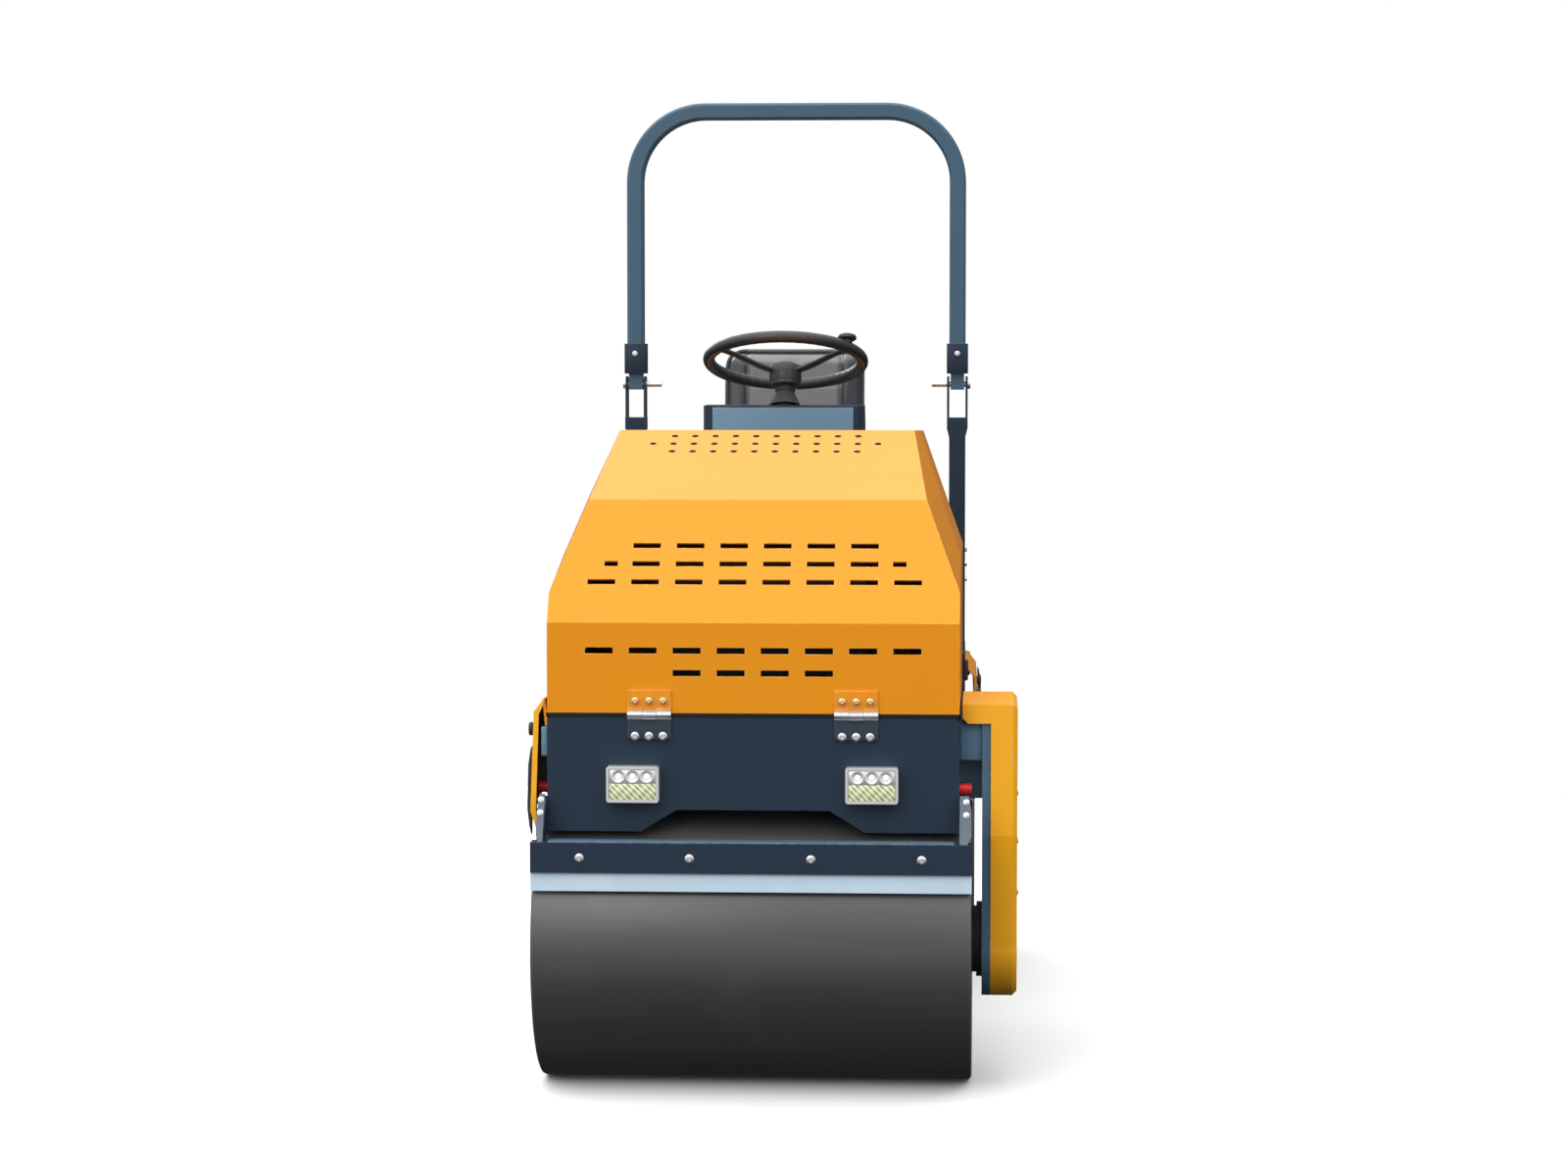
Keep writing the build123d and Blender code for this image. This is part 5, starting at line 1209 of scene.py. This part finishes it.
class ROLLER_OT_console(bpy.types.Operator):
    """Adds a pale slate sheet of painted light on the front, instrument dials, key switch and rocker switches
    to the console
    """

    bl_idname = "roller.console"
    bl_label = "Console fittings"

    TOP_EDGE = (0.247, 1.244)       # y, z of the sloping panel's edges
    LOW_EDGE = (0.300, 1.184)
    BOARD = (0.120, 0.033, 0.006)   # half width, half height, thickness
    DIALS = ((-0.070, 0.024), (0.0, 0.020))        # place across the panel, radius
    SWITCH_XS = (0.040, 0.062)
    KEY_X = 0.098
    KEY = ((0.012, 0), (0.012, 0.005), (0.010, 0.007), (0, 0.007))
    MIDDLE = 0.5                    # shares of the way down the panel
    SWITCH_ROW = 0.35

    def panel(self, across, down, out=0.0):
        """Place on the sloping panel: across it, down it as a share, and out from it."""
        (y0, z0), (y1, z1) = self.TOP_EDGE, self.LOW_EDGE
        run = Vector((0, y1 - y0, z1 - z0))
        normal = ASIDE.cross(run).normalized()
        if normal.z < 0:
            normal = -normal
        basis = Matrix((ASIDE, normal.cross(ASIDE), normal)).transposed().to_4x4()
        return Matrix.Translation(Vector((across, y0, z0)) + run * down + normal * out) @ basis

    def execute(self, context):
        low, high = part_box("console")
        cover, board = bmesh.new(), bmesh.new()
        # a thin pale sheet on the console's front: painted light, standing in for the light that falls on it
        slab(cover, (low.x + 0.020, low.y - 0.0025, low.z + 0.030),
             (high.x - 0.020, low.y + 0.001, high.z - 0.004), 0.0012)
        wide, tall, thick = self.BOARD
        slab(board, (-wide, -tall, 0.0), (wide, tall, thick), 0.003, self.panel(0, self.MIDDLE))
        dials, glass, knobs = bmesh.new(), bmesh.new(), bmesh.new()
        for x, radius in self.DIALS:
            spot = self.panel(x, self.MIDDLE, thick)
            lathe(dials, [(radius, 0), (radius, 0.003), (radius - 0.002, 0.0038), (radius - 0.003, 0.0015),
                          (0, 0.0015)], spot, 40)
            lathe(glass, [(radius - 0.0032, 0.0018), (radius - 0.0032, 0.0026), (0, 0.0029)], spot, 32)
        for x in self.SWITCH_XS:
            slab(knobs, (-0.008, -0.011, 0), (0.008, 0.011, 0.006), 0.0018,
                 self.panel(x, self.SWITCH_ROW, thick))
        lathe(knobs, self.KEY, self.panel(self.KEY_X, self.SWITCH_ROW, thick), 30)
        slab(knobs, (-0.0045, -0.0015, 0), (0.0045, 0.0015, 0.018), 0.001,
             self.panel(self.KEY_X, self.SWITCH_ROW, 2 * thick))
        for name, bm, look in (("front_cover", cover, "lit_slate"), ("panel", board, "plastic"),
                               ("dials", dials, "zinc"), ("dial_glass", glass, "dial"),
                               ("switches", knobs, "plastic")):
            new_piece(f"console_{name}", bm, "rear_frame", look)
        return {"FINISHED"}


class ROLLER_OT_deck(bpy.types.Operator):
    """Covers the footplate with raised anti-slip bars"""

    bl_idname = "roller.deck"
    bl_label = "Footplate tread"

    MARGIN = 0.010
    MIDDLE_HALF = 0.180             # half of the plate's bare middle
    BAR_HALF = 0.0085
    SINK = 0.0003
    AIM = 0.01                      # sideways lean that sets which way a bar lies

    def execute(self, context):
        fittings = context.scene.roller_fittings
        pitch = fittings.tread_pitch
        low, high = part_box("deck")
        rows = int((high.y - low.y - 2 * self.MARGIN) / pitch)
        columns = int((high.x - low.x - 2 * self.MARGIN) / pitch)
        points = []
        for i in range(columns):
            for j in range(rows):
                x = low.x + self.MARGIN + pitch * (i + 0.5)
                y = low.y + self.MARGIN + pitch * (j + 0.5)
                if abs(x) > self.MIDDLE_HALF:
                    way = 1 if (i + j) % 2 else -1
                    points.append(((x, y, high.z - self.SINK), (self.AIM * way, 0.0, 1.0), self.BAR_HALF))
        scattered("deck_tread", tread_bar(), points, "rear_frame", "slate", 0.0, fittings.seed)
        return {"FINISHED"}


class ROLLER_OT_stage(bpy.types.Operator):
    """Sets up the floor, the soft studio lights and the camera"""

    bl_idname = "roller.stage"
    bl_label = "Stage and camera"

    FLOOR_RADIUS = 4.0
    SENSOR = 36.0
    VIEW_REACH = 200.0
    # name, place, what it shines on, width, share of the key light's power
    LIGHTS = (
        ("key", (-2.4, -5.4, 3.4), (0, -0.6, 0.7), 2.6, 1.0),
        ("fill", (3.8, -5.0, 2.6), (0, -0.6, 0.6), 3.0, 0.5),
        ("rear_key", (-2.8, 5.4, 3.4), (0, 0.6, 0.7), 2.6, 1.9),
    )

    def dome(self, stage):
        """White backdrop whose light is strong from overhead and weak from behind, the right and below."""
        world = bpy.data.worlds.new("studio")
        world.use_nodes = True
        tree = world.node_tree
        tree.nodes.clear()

        def node(kind, **inputs):
            made = tree.nodes.new(kind)
            for name, value in inputs.items():
                socket = made.inputs[name.replace("_", " ")]
                if isinstance(value, bpy.types.NodeSocket):
                    tree.links.new(value, socket)
                else:
                    socket.default_value = value
            return made

        def ranged(axis, start, stop, low=0.0, high=1.0):
            return node("ShaderNodeMapRange", Value=part.outputs[axis], From_Min=start, From_Max=stop,
                        To_Min=low, To_Max=high)

        def background(strength):
            made = node("ShaderNodeBackground", Color=(1.0, 1.0, 1.0, 1.0), Strength=strength)
            return made.outputs["Background"]

        toward = node("ShaderNodeTexCoord")
        part = node("ShaderNodeSeparateXYZ", Vector=toward.outputs["Generated"])
        low = ranged("Y", 0.2, 0.9, stage.horizon, stage.horizon * stage.behind)
        above = ranged("Z", 0.24, 1.0, low.outputs["Result"], stage.zenith)
        above.interpolation_type = "SMOOTHSTEP"
        edge = ranged("Z", -0.30, 0.0)
        level = node("ShaderNodeMix", Factor=edge.outputs["Result"], A=stage.underfoot,
                     B=above.outputs["Result"])
        side = ranged("X", 0.2, 0.9, 1.0, stage.right_side)
        soft = node("ShaderNodeMix", Factor=side.outputs["Result"], A=0.0, B=level.outputs["Result"])
        seen = node("ShaderNodeLightPath")
        both = node("ShaderNodeMixShader", Fac=seen.outputs["Is Camera Ray"])
        tree.links.new(background(soft.outputs["Result"]), both.inputs[1])
        tree.links.new(background(1.0), both.inputs[2])
        node("ShaderNodeOutputWorld", Surface=both.outputs["Shader"])
        return world

    def floor(self):
        """Pale disc under the machine."""
        ground = bmesh.new()
        bmesh.ops.create_circle(ground, cap_ends=True, segments=96, radius=self.FLOOR_RADIUS)
        mesh = bpy.data.meshes.new("floor")
        ground.to_mesh(mesh)
        ground.free()
        mesh.materials.append(Finish("floor_pale").surface(Base_Color=(0.86, 0.86, 0.86), Roughness=0.8))
        floor = bpy.data.objects.new("floor", mesh)
        floor.visible_diffuse = False
        floor.visible_glossy = False
        bpy.context.scene.collection.objects.link(floor)

    def execute(self, context):
        scene = context.scene
        stage = scene.roller_stage
        self.floor()
        scene.view_settings.view_transform = "Standard"
        scene.world = self.dome(stage)
        for name, place, aim, size, share in self.LIGHTS:
            light = bpy.data.lights.new(name, "AREA")
            light.energy = stage.key * share
            light.size = size
            lamp = bpy.data.objects.new(name, light)
            lamp.location = place
            lamp.rotation_euler = (Vector(aim) - Vector(place)).to_track_quat("-Z", "Y").to_euler()
            scene.collection.objects.link(lamp)

        lens = bpy.data.cameras.new("main_view")
        lens.lens = stage.lens
        lens.sensor_width = self.SENSOR
        lens.clip_end = self.VIEW_REACH
        camera = bpy.data.objects.new("main_view", lens)
        camera.location = (stage.camera_x, -stage.camera_distance, stage.camera_height)
        camera.rotation_euler = (math.pi / 2 - stage.camera_dip, 0.0, stage.camera_turn)
        scene.collection.objects.link(camera)
        scene.camera = camera
        return {"FINISHED"}


STEPS = ("cad_finishes", "drums", "steering", "seat", "bolts", "lamps", "trim", "console", "deck", "stage")
SETTINGS = {"roller_look": RollerLook, "roller_fittings": RollerFittings, "roller_stage": RollerStage}


class ROLLER_PT_panel(bpy.types.Panel):
    """Lists the roller's pieces in the order in which they are made"""

    bl_idname = "ROLLER_PT_panel"
    bl_label = "Road roller"
    bl_space_type = "VIEW_3D"
    bl_region_type = "UI"
    bl_category = "Roller"

    def draw(self, context):
        column = self.layout.column()
        for settings in SETTINGS:
            group = getattr(context.scene, settings)
            for name in group.bl_rna.properties.keys():
                if name not in {"rna_type", "name"}:
                    column.prop(group, name)
        for step in STEPS:
            column.operator(f"roller.{step}")


CLASSES = (
    RollerLook, RollerFittings, RollerStage,
    ROLLER_OT_cad_finishes, ROLLER_OT_drums, ROLLER_OT_steering, ROLLER_OT_seat, ROLLER_OT_bolts,
    ROLLER_OT_lamps, ROLLER_OT_trim, ROLLER_OT_console, ROLLER_OT_deck, ROLLER_OT_stage,
    ROLLER_PT_panel,
)


def register():
    for cls in CLASSES:
        bpy.utils.register_class(cls)
    for name, group in SETTINGS.items():
        setattr(bpy.types.Scene, name, PointerProperty(type=group))


def unregister():
    for name in SETTINGS:
        delattr(bpy.types.Scene, name)
    for cls in reversed(CLASSES):
        bpy.utils.unregister_class(cls)


def main():
    register()
    for step in STEPS:
        getattr(bpy.ops.roller, step)()


if __name__ == "__main__":
    main()
